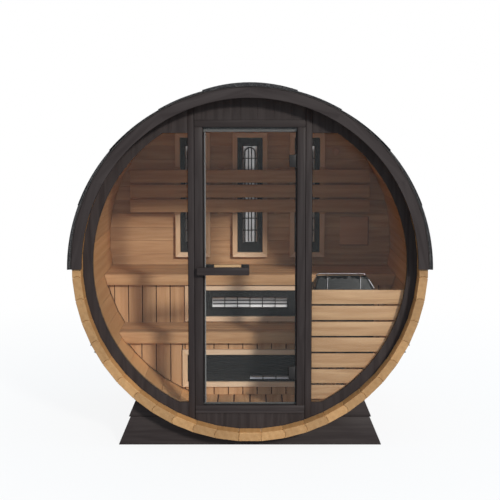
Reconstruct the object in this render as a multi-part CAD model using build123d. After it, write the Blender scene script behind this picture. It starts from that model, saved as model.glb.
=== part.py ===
from build123d import *
import os
from math import cos, pi, radians, sin, sqrt, tan

os.makedirs("parts", exist_ok=True)

# Barrel sauna.  Millimetres, Z up, ground at z = 0.  The barrel lies along Y: its
# glazed front faces -Y, its back wall +Y, and x = 0, y = 0 is the middle of the barrel.

# ---- driving dimensions -------------------------------------------------------------

# barrel of staves
barrel_radius = 1000.0        # axis to the flat outer face of a stave
stave_thickness = 48.5
stave_count = 48              # one is centred at the top and one at the bottom
stave_length = 1700.0
ground_clearance = 58.0       # under the lowest stave
recess = 100.0                # end walls sit this far inside the stave ends
wall_thickness = 45.0

# fits
joint_gap = 0.4               # between neighbouring boards
fit_gap = 0.3                 # between a fixed piece and what carries it
lining_gap = 3.0              # between loose interior woodwork and the staves

# steel hoops
hoop_width = 25.0
hoop_thickness = 1.2
hoop_inset = 60.0             # hoop edge from the stave end
hoop_count = 3

# roof
overhang = 20.3               # roof beyond the stave ends
deck_thickness = 3.5
eaves_angle = 90.7            # from the crown; the roof ends just below the barrel axis
course_angles = (15.0, 30.0, 50.0, 70.0, eaves_angle)
shingle_tops = (8.2, 5.6, 9.2, 11.8)      # thickness of each course at its upper edge
shingle_butts = (9.8, 13.2, 15.0, 18.0)   # and at its lower edge
ridge_edge = 16.0             # thickness of the ridge strip at its two edges
ridge_crown = 24.2            # and along its middle
fascia_depth = 57.5           # radial
fascia_thickness = 20.0
fascia_segments = 6           # over the half circle

# cradles
cradle_thickness = 90.0
cradle_inset = 140.0          # cradle face from the stave end
beam_height = 166.0
cradle_reach = 40.4           # degrees from the bottom to where the wedge blocks end
cradle_batter = 22.8          # lean of the cradle ends, degrees
wedge_step = 10.0             # wedge block beyond the beam's end

# front wall and windows
rim_width = 56.0              # boards left round the glass
window_below_head = 33.0      # window top below the door opening's top
window_above_sill = 19.0      # window bottom above the door opening's bottom
post_width = 38.0
pane_thickness = 8.0
pane_setback = 18.0           # glass face behind the wall face
pane_gap = 1.0

# door frame
frame_half_width = 314.0
jamb_width = 46.0
head_height = 40.0
frame_headroom = 77.3         # frame's top corners to the staves
frame_footroom = 37.3         # frame's bottom corners to the staves
threshold_height = 45.0
frame_thickness = 60.0
stop_width = 10.0
head_stop_height = 27.0
stop_thickness = 16.0
stop_clearance = 6.0          # behind the closed glass door

# glass door and its hinges
leaf_thickness = 8.0
leaf_setback = 16.0           # leaf face behind the frame face
leaf_gap = 6.0                # all round the leaf
clamp_width = 40.0
clamp_height = 69.0
clamp_plate = 4.0             # thickness behind the glass
clamp_block = 12.4            # thickness in front of the glass, round the pin
clamp_inset = 150.0           # leaf end to the near end of a clamp
pin_diameter = 6.0
pin_from_jamb = 12.0
pin_from_glass = 6.5
pin_clearance = 0.1
ear_gap = 0.3                 # between a clamp and the bracket ears
ear_thickness = 4.0
ear_depth = 10.6
bracket_plate = 3.0

# door handles
outer_bar_length = 296.0
outer_bar_height = 44.0
outer_bar_depth = 28.0
outer_bar_lap = 34.0          # left end over the jamb
handle_rise = 777.0           # middle of the bars above the leaf's lower edge
inner_bar_length = 249.0
inner_bar_height = 54.0
inner_bar_depth = 26.0
inner_bar_inset = 9.0         # left end from the leaf's edge
standoff_diameter = 22.0
standoff_length = 32.0
standoff_inset = 70.0         # from the outer bar's left end
standoff_spacing = 170.0

# floor and benches
floor_rise = 58.5             # floor above the lowest stave's inner face
floor_board = 95.0
floor_gap = 4.0
floor_thickness = 24.0
floor_boards = 6
joist_width = 45.0
lower_bench_front = 680.0     # from the front stave ends
upper_bench_front = 1020.0
lower_bench_rise = 400.0      # above the floor
bench_board = 90.0
bench_gap = 10.0
narrowest_board = 30.0        # the last seat board may be ripped down to this
bench_thickness = 28.0
apron_height = 70.0
apron_thickness = 28.0
riser_setback = 40.0          # behind the apron's face
riser_thickness = 15.0
bearer_width = 45.0
bearer_height = 42.0
bearer_spacing = 560.0

# infrared emitters
emitter_width = 235.0
emitter_depth = 45.0
emitter_border = 32.0
emitter_recess = 22.0
emitter_proud = 18.0          # front of a bench emitter ahead of the riser
wall_emitter_spacing = 387.0
wall_emitter_headroom = 89.8  # outer emitters' top corners to the staves
wall_emitter_rise = 54.0      # above the upper bench
upper_emitter_rise = 7.0      # above the lower bench
upper_emitter_headroom = 3.4  # to the bearers of the upper bench
lower_emitter_rise = 52.0     # above the floor

# backrest
backrest_end_gap = 24.0       # from the top board's ends to the staves
backrest_board = 85.0
backrest_gap = 14.0
backrest_boards = 3
backrest_rise = 648.0         # top of the backrest above the upper bench
backrest_thickness = 22.0
batten_width = 42.0
batten_thickness = 32.0
batten_places = (-490.0, -196.0, 184.0, 490.0)

# vent slide and sensor on the back wall
vent_size = 190.0
vent_side_gap = 139.5         # from its upper corner to the staves
vent_rise = 54.0              # its middle above the barrel axis
vent_thickness = 22.0
sensor_x = 580.0
sensor_headroom = 164.6
sensor_diameter = 56.0
sensor_depth = 30.0

# heater and its slatted guard
guard_slat = 82.0
guard_gap = 10.6
guard_slats = 7
guard_rise = 742.0            # top slat above the floor
guard_lap = 12.0              # its left end behind the post
guard_thickness = 18.0
guard_batten_width = 45.0
guard_batten_thickness = 28.0
guard_batten_places = (26.0, 174.0)    # from the guard's left end
heater_width = 350.0
heater_depth = 300.0
heater_height = 390.0
heater_side_gap = 65.0        # from its lower corner to the staves
basket_inset = 25.0
basket_height = 55.0
rail_diameter = 10.0
rail_rise = 12.0

# ---- places worked out from them ----------------------------------------------------

step = 360.0 / stave_count
inner_radius = barrel_radius - stave_thickness
axis_height = ground_clearance + barrel_radius
front = -stave_length / 2
back = stave_length / 2
wall_front = front + recess
wall_inside = wall_front + wall_thickness
back_wall_outside = back - recess
back_wall_inside = back_wall_outside - wall_thickness
roof_front = front - overhang
roof_back = back + overhang
rim_radius = inner_radius - fit_gap - rim_width
opening_half_width = frame_half_width - jamb_width


def half_chord(offset):
    """Half the width inside the staves along a line this far from the barrel axis."""
    return sqrt(inner_radius ** 2 - offset ** 2)


frame_top = axis_height + half_chord(frame_half_width) - frame_headroom
frame_bottom = axis_height - half_chord(frame_half_width) + frame_footroom
opening_top = frame_top - head_height
opening_bottom = frame_bottom + threshold_height
window_top = opening_top - window_below_head
window_bottom = opening_bottom + window_above_sill
floor_top = axis_height - inner_radius + floor_rise
lower_bench_top = floor_top + lower_bench_rise
bearer_drop = bench_thickness + bearer_height + 2 * fit_gap
upper_emitter_top = lower_bench_top + upper_emitter_rise + emitter_width
upper_bench_top = upper_emitter_top + upper_emitter_headroom + bearer_drop


# ---- helpers ------------------------------------------------------------------------

def block(x0, x1, y0, y1, z0, z1):
    """Rectangular board between six faces."""
    middle = Pos((x0 + x1) / 2, (y0 + y1) / 2, (z0 + z1) / 2)
    return middle * Box(x1 - x0, y1 - y0, z1 - z0)


def round_point(radius, angle, y):
    """Point at a radius from the barrel axis, angle measured from the top towards +X."""
    turn = radians(angle)
    return Vector(radius * sin(turn), y, axis_height + radius * cos(turn))


def prism(points, y0, y1):
    """Closed outline in the plane y = y0, drawn back to y = y1."""
    outline = make_face(Polyline(*points, close=True))
    return extrude(outline, amount=y1 - y0, dir=(0, 1, 0))


def barrel_prism(flat_radius, y0, y1):
    """Many-sided prism that follows the stave faces at a distance from the axis."""
    corner_radius = flat_radius / cos(pi / stave_count)
    corners = [round_point(corner_radius, (k + 0.5) * step, y0) for k in range(stave_count)]
    return prism(corners, y0, y1)


def sector(r_in, r_out, a0, a1, y0, y1):
    """Curved board between two angles; r_out is one radius, or those at start, middle, end."""
    r_start, r_middle, r_end = r_out if isinstance(r_out, tuple) else (r_out, r_out, r_out)
    middle = (a0 + a1) / 2
    outer = ThreePointArc(round_point(r_start, a0, y0),
                          round_point(r_middle, middle, y0),
                          round_point(r_end, a1, y0))
    inner = ThreePointArc(round_point(r_in, a1, y0),
                          round_point(r_in, middle, y0),
                          round_point(r_in, a0, y0))
    sides = [Line(outer @ 1, inner @ 0), Line(inner @ 1, outer @ 0)]
    return extrude(make_face([outer, inner] + sides), amount=y1 - y0, dir=(0, 1, 0))


def inside_barrel(piece, gap=lining_gap):
    """Piece trimmed to fit between the staves."""
    return piece & barrel_prism(inner_radius - gap, wall_front, back_wall_outside)


def upright(diameter, x, y, z0, z1):
    """Round pin standing between two heights."""
    return Pos(x, y, (z0 + z1) / 2) * Cylinder(diameter / 2, z1 - z0)


def cross_pin(diameter, x, z, y0, y1):
    """Round pin lying along Y."""
    return Pos(x, (y0 + y1) / 2, z) * Rot(90, 0, 0) * Cylinder(diameter / 2, y1 - y0)


def side_pin(diameter, y, z, x0, x1):
    """Round bar lying along X."""
    return Pos((x0 + x1) / 2, y, z) * Rot(0, 90, 0) * Cylinder(diameter / 2, x1 - x0)


def save(name, *pieces):
    """Write one node with all its solids."""
    solids = [solid for piece in pieces for solid in piece.solids()]
    export_step(Compound(solids), f"parts/{name}.step")


# ---- barrel -------------------------------------------------------------------------

def stave(k):
    """One stave: a straight board whose edges point at the barrel axis."""
    half_turn = radians(step / 2)
    outer_half = barrel_radius * tan(half_turn) - joint_gap / 2
    inner_half = inner_radius * tan(half_turn) - joint_gap / 2
    corners = [(-outer_half, barrel_radius), (outer_half, barrel_radius),
               (inner_half, inner_radius), (-inner_half, inner_radius)]
    points = [Vector(x, front, z) for x, z in corners]
    return Pos(0, 0, axis_height) * Rot(0, k * step, 0) * prism(points, front, back)


quarter = stave_count // 4
for q, side in enumerate(("top", "right", "bottom", "left")):
    first = q * quarter - quarter // 2
    save(f"staves_{side}", *[stave(k) for k in range(first, first + quarter)])


def hoop(y):
    """Steel strap round all the staves."""
    outer = barrel_prism(barrel_radius + fit_gap + hoop_thickness, y, y + hoop_width)
    return outer - barrel_prism(barrel_radius + fit_gap, y, y + hoop_width)


hoop_first = front + hoop_inset
hoop_pitch = (stave_length - 2 * hoop_inset - hoop_width) / (hoop_count - 1)
save("steel_hoops", *[hoop(hoop_first + k * hoop_pitch) for k in range(hoop_count)])


# ---- roof ---------------------------------------------------------------------------

deck_flat = barrel_radius + fit_gap + hoop_thickness + fit_gap
deck_out = (deck_flat + deck_thickness) / cos(pi / stave_count)
eaves_height = axis_height + deck_flat * cos(radians(eaves_angle))
above_eaves = block(-2 * barrel_radius, 2 * barrel_radius, roof_front, roof_back,
                    eaves_height, axis_height + 2 * barrel_radius)


def deck_board(k):
    """Thin roof board as wide as a stave, lying on the hoops."""
    half_turn = radians(step / 2)
    under_half = deck_flat * tan(half_turn) - joint_gap / 2
    over = deck_flat + deck_thickness
    over_half = over * tan(half_turn) - joint_gap / 2
    corners = [(-over_half, over), (over_half, over),
               (under_half, deck_flat), (-under_half, deck_flat)]
    points = [Vector(x, roof_front, z) for x, z in corners]
    board = Pos(0, 0, axis_height) * Rot(0, k * step, 0) * prism(points, roof_front, roof_back)
    return board & above_eaves


deck_side = stave_count // 4
save("roof_deck_left", *[deck_board(-k) for k in range(1, deck_side + 1)])
save("roof_deck_right", *[deck_board(k) for k in range(0, deck_side + 1)])

shingle_in = deck_out + fit_gap


def course(k):
    """One course of roofing, thin at its upper edge and thick at its lower one."""
    seam = joint_gap / shingle_in / pi * 90
    thin = shingle_in + shingle_tops[k]
    thick = shingle_in + shingle_butts[k]
    return sector(shingle_in, (thin, (thin + thick) / 2, thick),
                  course_angles[k] + seam, course_angles[k + 1] - seam,
                  roof_front, roof_back)


right_courses = [course(k) for k in range(len(shingle_tops))]
left_courses = [mirror(piece, about=Plane.YZ) for piece in right_courses]
save("roof_courses_right", *right_courses)
save("roof_courses_left", *left_courses)
ridge_angle = course_angles[0]
ridge_out = (shingle_in + ridge_edge, shingle_in + ridge_crown, shingle_in + ridge_edge)
save("roof_ridge", sector(shingle_in, ridge_out, -ridge_angle, ridge_angle,
                          roof_front, roof_back))

fascia_out = deck_flat - fit_gap
fascia_in = fascia_out - fascia_depth


def fascia(y0, y1):
    """Curved trim board under the roof edge, in butted segments."""
    turn = 2 * eaves_angle / fascia_segments
    seam = joint_gap / fascia_in / pi * 90
    starts = [-eaves_angle + k * turn for k in range(fascia_segments)]
    return [sector(fascia_in, fascia_out, a + seam, a + turn - seam, y0, y1) for a in starts]


save("fascia_front", *fascia(roof_front, roof_front + fascia_thickness))
save("fascia_back", *fascia(roof_back - fascia_thickness, roof_back))


# ---- cradles ------------------------------------------------------------------------

def cradle(y0, y1):
    """Beam on the ground with a wedge block at each end, both cut to the barrel."""
    lean = tan(radians(cradle_batter))
    tip = round_point(barrel_radius, 180 - cradle_reach, y0)
    wedge_end = tip.X + (tip.Z - beam_height) * lean
    beam_end = wedge_end - wedge_step
    foot_end = beam_end + beam_height * lean
    beam = prism([Vector(-foot_end, y0, 0), Vector(foot_end, y0, 0),
                  Vector(beam_end, y0, beam_height), Vector(-beam_end, y0, beam_height)],
                 y0, y1)
    foot = beam_height + joint_gap
    wedge = prism([Vector(0, y0, foot), Vector(wedge_end, y0, foot),
                   tip, Vector(0, y0, tip.Z)], y0, y1)
    barrel = barrel_prism(barrel_radius + fit_gap, y0 - 1, y1 + 1)
    wedge = wedge - barrel
    return [beam - barrel, wedge, mirror(wedge, about=Plane.YZ)]


cradle_front_face = front + cradle_inset
cradle_back_face = back - cradle_inset
save("cradle_front", *cradle(cradle_front_face, cradle_front_face + cradle_thickness))
save("cradle_back", *cradle(cradle_back_face - cradle_thickness, cradle_back_face))


# ---- front wall ---------------------------------------------------------------------

wall_disc = barrel_prism(inner_radius - fit_gap, wall_front, wall_inside)
post_outside = frame_half_width + fit_gap + post_width
high = axis_height + barrel_radius
low = axis_height - barrel_radius


def wall_piece(x0, x1, z0, z1):
    """Part of the round front wall between two uprights and two heights."""
    return block(x0, x1, wall_front, wall_inside, z0, z1) & wall_disc


def side_wall():
    """Right side of the front wall: boards above, below and round the window."""
    x0 = post_outside + fit_gap
    above = wall_piece(x0, barrel_radius, window_top, high)
    below = wall_piece(x0, barrel_radius, low, window_bottom)
    opening = Pos(0, wall_front, axis_height) * Rot(-90, 0, 0) * Cylinder(
        rim_radius, wall_thickness, align=(Align.CENTER, Align.CENTER, Align.MIN))
    rim = wall_piece(x0, barrel_radius, window_bottom + fit_gap, window_top - fit_gap) - opening
    count = 6
    slices = []
    for k in range(count):
        z0 = window_bottom + k * (window_top - window_bottom) / count + fit_gap / 2
        z1 = window_bottom + (k + 1) * (window_top - window_bottom) / count - fit_gap / 2
        slices.append(rim & block(0, barrel_radius, wall_front, wall_inside, z0, z1))
    return [above, below] + slices


def window():
    """Right window pane, round on its outer edge."""
    y0 = wall_front + pane_setback
    disc = Pos(0, y0, axis_height) * Rot(-90, 0, 0) * Cylinder(
        rim_radius - pane_gap, pane_thickness, align=(Align.CENTER, Align.CENTER, Align.MIN))
    return disc & block(post_outside + pane_gap, barrel_radius, y0, y0 + pane_thickness,
                        window_bottom + pane_gap, window_top - pane_gap)


def both(pieces):
    """Left-hand copies of right-hand pieces."""
    return [mirror(piece, about=Plane.YZ) for piece in pieces]


wall_right = side_wall()
save("front_wall_right", *wall_right)
save("front_wall_left", *both(wall_right))
save("window_right", window())
save("window_left", *both([window()]))
post = wall_piece(frame_half_width + fit_gap, post_outside, low, high)
save("post_right", post)
save("post_left", *both([post]))
save("front_wall_top", wall_piece(-frame_half_width, frame_half_width,
                                  frame_top + fit_gap, high))
save("front_wall_bottom", wall_piece(-frame_half_width, frame_half_width,
                                     low, frame_bottom - fit_gap))


# ---- door frame ---------------------------------------------------------------------

frame_back = wall_front + frame_thickness
head = block(-frame_half_width, frame_half_width, wall_front, frame_back,
             opening_top, frame_top)
threshold = block(-frame_half_width, frame_half_width, wall_front, frame_back,
                  frame_bottom, opening_bottom)
jamb = block(opening_half_width, frame_half_width, wall_front, frame_back,
             opening_bottom + fit_gap, opening_top - fit_gap)
save("door_frame", head, threshold, jamb, *both([jamb]))

leaf_front = wall_front + leaf_setback
leaf_back = leaf_front + leaf_thickness
stop_front = leaf_back + stop_clearance
stop_back = stop_front + stop_thickness
head_stop_bottom = opening_top - head_stop_height
head_stop = block(-opening_half_width + fit_gap, opening_half_width - fit_gap,
                  stop_front, stop_back, head_stop_bottom, opening_top - fit_gap)
side_stop = block(opening_half_width - stop_width, opening_half_width - fit_gap,
                  stop_front, stop_back,
                  opening_bottom + stop_width + fit_gap, head_stop_bottom - fit_gap)
sill_stop = block(-opening_half_width + fit_gap, opening_half_width - fit_gap,
                  stop_front, stop_back, opening_bottom + fit_gap, opening_bottom + stop_width)
save("door_stops", head_stop, sill_stop, side_stop, *both([side_stop]))


# ---- glass door ---------------------------------------------------------------------

leaf_half_width = opening_half_width - leaf_gap
leaf_bottom = opening_bottom + leaf_gap
leaf_top = opening_top - leaf_gap
handle_height = leaf_bottom + handle_rise
save("door_glass", block(-leaf_half_width, leaf_half_width, leaf_front, leaf_back,
                         leaf_bottom, leaf_top))

pin_x = opening_half_width - pin_from_jamb
pin_y = leaf_front - pin_from_glass
print("door pin at", pin_x, pin_y)


def clamp(z0):
    """Clamp on the glass: plate behind, block with its pivot pins in front."""
    z1 = z0 + clamp_height
    right = leaf_half_width
    plate = block(right - clamp_width, right, leaf_back + fit_gap,
                  leaf_back + fit_gap + clamp_plate, z0, z1)
    face = block(right - clamp_width, pin_x, pin_y - clamp_block / 2, pin_y + clamp_block / 2,
                 z0, z1)
    knuckle = upright(clamp_block, pin_x, pin_y, z0, z1)
    pin = upright(pin_diameter, pin_x, pin_y, z0 - ear_thickness, z1 + ear_thickness)
    return [plate, face + knuckle + pin]


def bracket(z0):
    """Bracket on the jamb with an ear above and below the clamp."""
    z1 = z0 + clamp_height
    y0 = pin_y - ear_depth / 2
    y1 = pin_y + ear_depth / 2
    body = block(opening_half_width - bracket_plate, opening_half_width - fit_gap, y0, y1,
                 z0 - ear_gap - ear_thickness, z1 + ear_gap + ear_thickness)
    for e0 in (z0 - ear_gap - ear_thickness, z1 + ear_gap):
        ear = block(pin_x, opening_half_width - fit_gap, y0, y1, e0, e0 + ear_thickness)
        body = body + ear + upright(ear_depth, pin_x, pin_y, e0, e0 + ear_thickness)
    hole = upright(pin_diameter + 2 * pin_clearance, pin_x, pin_y, z0 - clamp_height,
                   z1 + clamp_height)
    return body - hole


clamp_heights = (leaf_bottom + clamp_inset, leaf_top - clamp_inset - clamp_height)
save("door_hinge_clamps", *[solid for z0 in clamp_heights for solid in clamp(z0)])
save("door_hinge_brackets", *[bracket(z0) for z0 in clamp_heights])

outer_bar_start = -opening_half_width - outer_bar_lap
inner_bar_start = -leaf_half_width + inner_bar_inset
first_standoff = outer_bar_start + standoff_inset
standoffs = [first_standoff, first_standoff + standoff_spacing]
outer_back = leaf_front - fit_gap - standoff_length
outer_bar = block(outer_bar_start, outer_bar_start + outer_bar_length,
                  outer_back - outer_bar_depth, outer_back,
                  handle_height - outer_bar_height / 2,
                  handle_height + outer_bar_height / 2)
outer_legs = [cross_pin(standoff_diameter, x, handle_height, outer_back, leaf_front - fit_gap)
              for x in standoffs]
save("door_handle_outside", outer_bar + outer_legs)
inner_front = leaf_back + fit_gap + standoff_length
inner_bar = block(inner_bar_start, inner_bar_start + inner_bar_length,
                  inner_front, inner_front + inner_bar_depth,
                  handle_height - inner_bar_height / 2,
                  handle_height + inner_bar_height / 2)
inner_legs = [cross_pin(standoff_diameter, x, handle_height, leaf_back + fit_gap, inner_front)
              for x in standoffs]
save("door_handle_inside", inner_bar + inner_legs)


# ---- back wall ----------------------------------------------------------------------

save("back_wall", barrel_prism(inner_radius - fit_gap, back_wall_inside, back_wall_outside))
vent_back = back_wall_inside - fit_gap
vent_top = vent_rise + vent_size / 2
vent_right = half_chord(vent_top) - vent_side_gap
vent = block(vent_right - vent_size, vent_right, vent_back - vent_thickness, vent_back,
             axis_height + vent_top - vent_size, axis_height + vent_top)
save("vent_slide", vent)
sensor_height = axis_height + half_chord(sensor_x) - sensor_headroom
save("sensor", cross_pin(sensor_diameter, sensor_x, sensor_height,
                         vent_back - sensor_depth, vent_back))


# ---- floor --------------------------------------------------------------------------

def floor_piece(k):
    """One floor board, running from front to back."""
    pitch = floor_board + floor_gap
    x0 = (k - floor_boards / 2) * pitch + floor_gap / 2
    board = block(x0, x0 + floor_board, wall_inside + lining_gap, back_wall_inside - lining_gap,
                  floor_top - floor_thickness, floor_top)
    return inside_barrel(board)


def joist(y):
    """Cross joist under the floor boards, cut to the staves."""
    return inside_barrel(block(-barrel_radius, barrel_radius, y, y + joist_width,
                               low, floor_top - floor_thickness - fit_gap), fit_gap)


save("floor_boards", *[floor_piece(k) for k in range(floor_boards)])
joist_run = back_wall_inside - wall_inside - joist_width - 2 * lining_gap
joist_places = [wall_inside + lining_gap + joist_run * k / 3 for k in range(4)]
save("floor_joists", *[joist(y) for y in joist_places])


# ---- benches ------------------------------------------------------------------------

lower_face = front + lower_bench_front
upper_face = front + upper_bench_front
lower_riser_face = lower_face + riser_setback
upper_riser_face = upper_face + riser_setback
outer_emitter_side = wall_emitter_spacing + emitter_width / 2
wall_emitter_top = axis_height + half_chord(outer_emitter_side) - wall_emitter_headroom
emitter_length = wall_emitter_top - upper_bench_top - wall_emitter_rise
emitter_fit = emitter_length / 2 + fit_gap
lower_emitter_top = floor_top + lower_emitter_rise + emitter_width


def bench_top(face, rear, top):
    """Apron board and the lengthwise seat boards behind it."""
    apron = block(-barrel_radius, barrel_radius, face, face + apron_thickness,
                  top - apron_height, top)
    boards = [inside_barrel(apron)]
    y0 = face + apron_thickness + bench_gap
    while y0 + narrowest_board <= rear:
        y1 = min(y0 + bench_board, rear)
        board = block(-barrel_radius, barrel_radius, y0, y1, top - bench_thickness, top)
        boards.append(inside_barrel(board))
        y0 = y1 + bench_gap
    return boards


def riser(face, bottom, top, emitter_top):
    """Boarded front under a bench, open where the emitter is let in."""
    y1 = face + riser_thickness
    hole_top = emitter_top + fit_gap
    hole_bottom = emitter_top - emitter_width - fit_gap
    side = block(emitter_fit, barrel_radius, face, y1, bottom, top)
    over = block(-emitter_fit + joint_gap, emitter_fit - joint_gap, face, y1, hole_top, top)
    under = block(-emitter_fit + joint_gap, emitter_fit - joint_gap, face, y1, bottom, hole_bottom)
    pieces = [side, over, under] + both([side])
    return [inside_barrel(piece) for piece in pieces]


def bearers(face, rear, top):
    """Bearers that carry the seat boards from the riser to the rear."""
    z1 = top - bench_thickness - fit_gap
    y0 = face + apron_thickness + fit_gap
    return [block(k * bearer_spacing - bearer_width / 2, k * bearer_spacing + bearer_width / 2,
                  y0, rear, z1 - bearer_height, z1) for k in (-1, 0, 1)]


save("upper_bench", *bench_top(upper_face, back_wall_inside - lining_gap, upper_bench_top))
save("lower_bench", *bench_top(lower_face, upper_riser_face - lining_gap, lower_bench_top))
save("upper_riser", *riser(upper_riser_face, floor_top + fit_gap,
                           upper_bench_top - bearer_drop, upper_emitter_top))
save("lower_riser", *riser(lower_riser_face, floor_top + fit_gap,
                           lower_bench_top - bearer_drop, lower_emitter_top))
save("bench_bearers",
     *bearers(upper_face, back_wall_inside - fit_gap, upper_bench_top),
     *bearers(lower_face, upper_riser_face - fit_gap, lower_bench_top))


# ---- infrared emitters --------------------------------------------------------------

def emitter(width, height):
    """Emitter seen from the front, centred on x and z, with its face at y = 0."""
    half_w = width / 2
    half_h = height / 2
    in_w = half_w - emitter_border
    in_h = half_h - emitter_border
    rails = [block(-half_w, half_w, 0, emitter_depth, s * in_h, s * half_h) if s > 0 else
             block(-half_w, half_w, 0, emitter_depth, s * half_h, s * in_h) for s in (-1, 1)]
    stile = block(in_w, half_w, 0, emitter_depth, -in_h + joint_gap, in_h - joint_gap)
    pan = block(-in_w + joint_gap, in_w - joint_gap, emitter_recess, emitter_depth,
                -in_h + joint_gap, in_h - joint_gap)
    return rails + [stile, pan] + both([stile])


wall_emitter_y = back_wall_inside - fit_gap - emitter_depth
wall_emitter_z = wall_emitter_top - emitter_length / 2
for name, k in (("left", -1), ("middle", 0), ("right", 1)):
    place = Pos(k * wall_emitter_spacing, wall_emitter_y, wall_emitter_z)
    save(f"wall_emitter_{name}", *[place * piece for piece in emitter(emitter_width, emitter_length)])
for name, face, top in (("upper", upper_riser_face, upper_emitter_top),
                        ("lower", lower_riser_face, lower_emitter_top)):
    place = Pos(0, face - emitter_proud, top - emitter_width / 2)
    save(f"bench_emitter_{name}",
         *[place * piece for piece in emitter(emitter_length, emitter_width)])


# ---- backrest -----------------------------------------------------------------------

batten_back = wall_emitter_y - fit_gap
batten_front = batten_back - batten_thickness
rest_back = batten_front - fit_gap
backrest_top = upper_bench_top + backrest_rise
backrest_half_width = half_chord(backrest_top - axis_height) - backrest_end_gap
boards = []
for k in range(backrest_boards):
    z1 = backrest_top - k * (backrest_board + backrest_gap)
    boards.append(block(-backrest_half_width, backrest_half_width,
                        rest_back - backrest_thickness, rest_back, z1 - backrest_board, z1))
rest_low = backrest_top - backrest_boards * (backrest_board + backrest_gap) + backrest_gap
battens = [block(x - batten_width / 2, x + batten_width / 2, batten_front, batten_back,
                 rest_low - backrest_gap, backrest_top + backrest_gap) for x in batten_places]
save("backrest", *boards)
save("backrest_battens", *battens)


# ---- heater -------------------------------------------------------------------------

guard_front = wall_inside + fit_gap
guard_top = floor_top + guard_rise
guard_left = frame_half_width + guard_lap
guard_back = guard_front + guard_thickness
guard_batten_back = guard_back + fit_gap + guard_batten_thickness
slats = []
for k in range(guard_slats):
    z1 = guard_top - k * (guard_slat + guard_gap)
    slats.append(inside_barrel(block(guard_left, barrel_radius, guard_front, guard_back,
                                     z1 - guard_slat, z1)))
guard_low = guard_top - guard_slats * (guard_slat + guard_gap) + guard_gap
guard_battens = [inside_barrel(block(guard_left + x, guard_left + x + guard_batten_width,
                                     guard_back + fit_gap, guard_batten_back,
                                     guard_low, guard_top))
                 for x in guard_batten_places]
save("heater_guard", *slats, *guard_battens)

heater_front = guard_batten_back + fit_gap
heater_top = guard_top
heater_right = half_chord(heater_top - heater_height - axis_height) - heater_side_gap
heater_left = heater_right - heater_width
casing = block(heater_left, heater_right, heater_front, heater_front + heater_depth,
               heater_top - heater_height, heater_top)
basket_top = heater_top + basket_height
basket = block(heater_left + basket_inset, heater_right - basket_inset,
               heater_front + basket_inset, heater_front + heater_depth - basket_inset,
               heater_top, basket_top)
save("heater", casing + basket)

rail_z = basket_top + rail_rise
rail_x0 = heater_left + basket_inset
rail_x1 = heater_right - basket_inset
rail_y0 = heater_front + basket_inset + rail_diameter
rail_y1 = heater_front + heater_depth - basket_inset - rail_diameter
rails = side_pin(rail_diameter, rail_y0, rail_z, rail_x0, rail_x1)
rails = rails + side_pin(rail_diameter, rail_y1, rail_z, rail_x0, rail_x1)
for x in (rail_x0 + rail_diameter / 2, rail_x1 - rail_diameter / 2):
    rails = rails + cross_pin(rail_diameter, x, rail_z, rail_y0, rail_y1)
    for y in (rail_y0, rail_y1):
        rails = rails + upright(rail_diameter, x, y, basket_top + fit_gap, rail_z)
save("heater_rails", rails)
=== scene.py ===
# %% [markdown]
# # A barrel sauna, dressed
#
# The measured model already gives every board its place.  This lesson gives each of
# those boards its real surface: rounded edges, grain, stain, glass and steel.  Nothing
# is moved.  A new piece is made where the plain solid stands, and takes its place.

# %% Load the measured model
import bmesh
import bpy
import random
from math import cos, pi, radians, sin, sqrt
from mathutils import Matrix, Vector


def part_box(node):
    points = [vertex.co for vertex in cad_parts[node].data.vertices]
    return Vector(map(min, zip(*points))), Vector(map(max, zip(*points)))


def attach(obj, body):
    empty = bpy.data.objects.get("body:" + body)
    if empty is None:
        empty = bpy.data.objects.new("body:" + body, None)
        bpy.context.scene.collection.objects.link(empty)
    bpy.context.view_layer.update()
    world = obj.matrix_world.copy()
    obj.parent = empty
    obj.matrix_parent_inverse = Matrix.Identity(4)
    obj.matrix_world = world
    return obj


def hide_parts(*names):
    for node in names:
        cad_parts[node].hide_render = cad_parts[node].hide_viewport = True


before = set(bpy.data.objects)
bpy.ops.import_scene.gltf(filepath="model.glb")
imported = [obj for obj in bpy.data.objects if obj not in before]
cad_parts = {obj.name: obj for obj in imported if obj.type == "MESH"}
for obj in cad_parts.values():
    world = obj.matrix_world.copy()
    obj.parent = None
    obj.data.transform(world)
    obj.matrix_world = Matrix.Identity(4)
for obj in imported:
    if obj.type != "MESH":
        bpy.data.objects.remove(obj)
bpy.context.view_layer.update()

# %% [markdown]
# ## The sizes that everything hangs on
#
# The barrel is a ring of 48 straight staves about one axis.  The axis height comes from
# the steel hoops, which go all the way round, and the rest is read from the boxes of
# the nodes, so the pieces stay in place if a size changes.

# %% Barrel sizes
STAVES = 48
STEP = 2 * pi / STAVES
FIT = 0.0003                  # between a fixed piece and what carries it
flat = cos(STEP / 2)          # a stave's flat face is this much nearer than its corners
hoop_low, hoop_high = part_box("steel_hoops")
axis_z = (hoop_low.z + hoop_high.z) / 2
stave_low, stave_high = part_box("staves_bottom")
barrel_radius = axis_z - stave_low.z
back_low, back_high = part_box("back_wall")
inner_radius = back_high.z - axis_z + FIT
stave_thickness = barrel_radius - inner_radius
front_y, back_y = stave_low.y, stave_high.y
wall_low, wall_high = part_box("front_wall_left")
wall_front, wall_inside = wall_low.y, wall_high.y
frame_low, frame_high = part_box("door_frame")
floor_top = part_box("floor_boards")[1].z
print("axis", round(axis_z, 4), "radius", round(barrel_radius, 4), "inside", round(inner_radius, 4))

# %% [markdown]
# ## A bench to work on
#
# Nearly every piece here is made of straight boards.  A board starts as a unit cube,
# is stretched to size, is sawn by planes where it meets the round barrel, and then has
# its edges eased with a bevel.  Boards of one piece are kept in one mesh, and each
# carries its own number in an attribute, so that the wood material can give it its own
# grain and tone.  The helpers here keep boards together and hand over a finished piece;
# those that shape a board come where they are first used.

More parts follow.
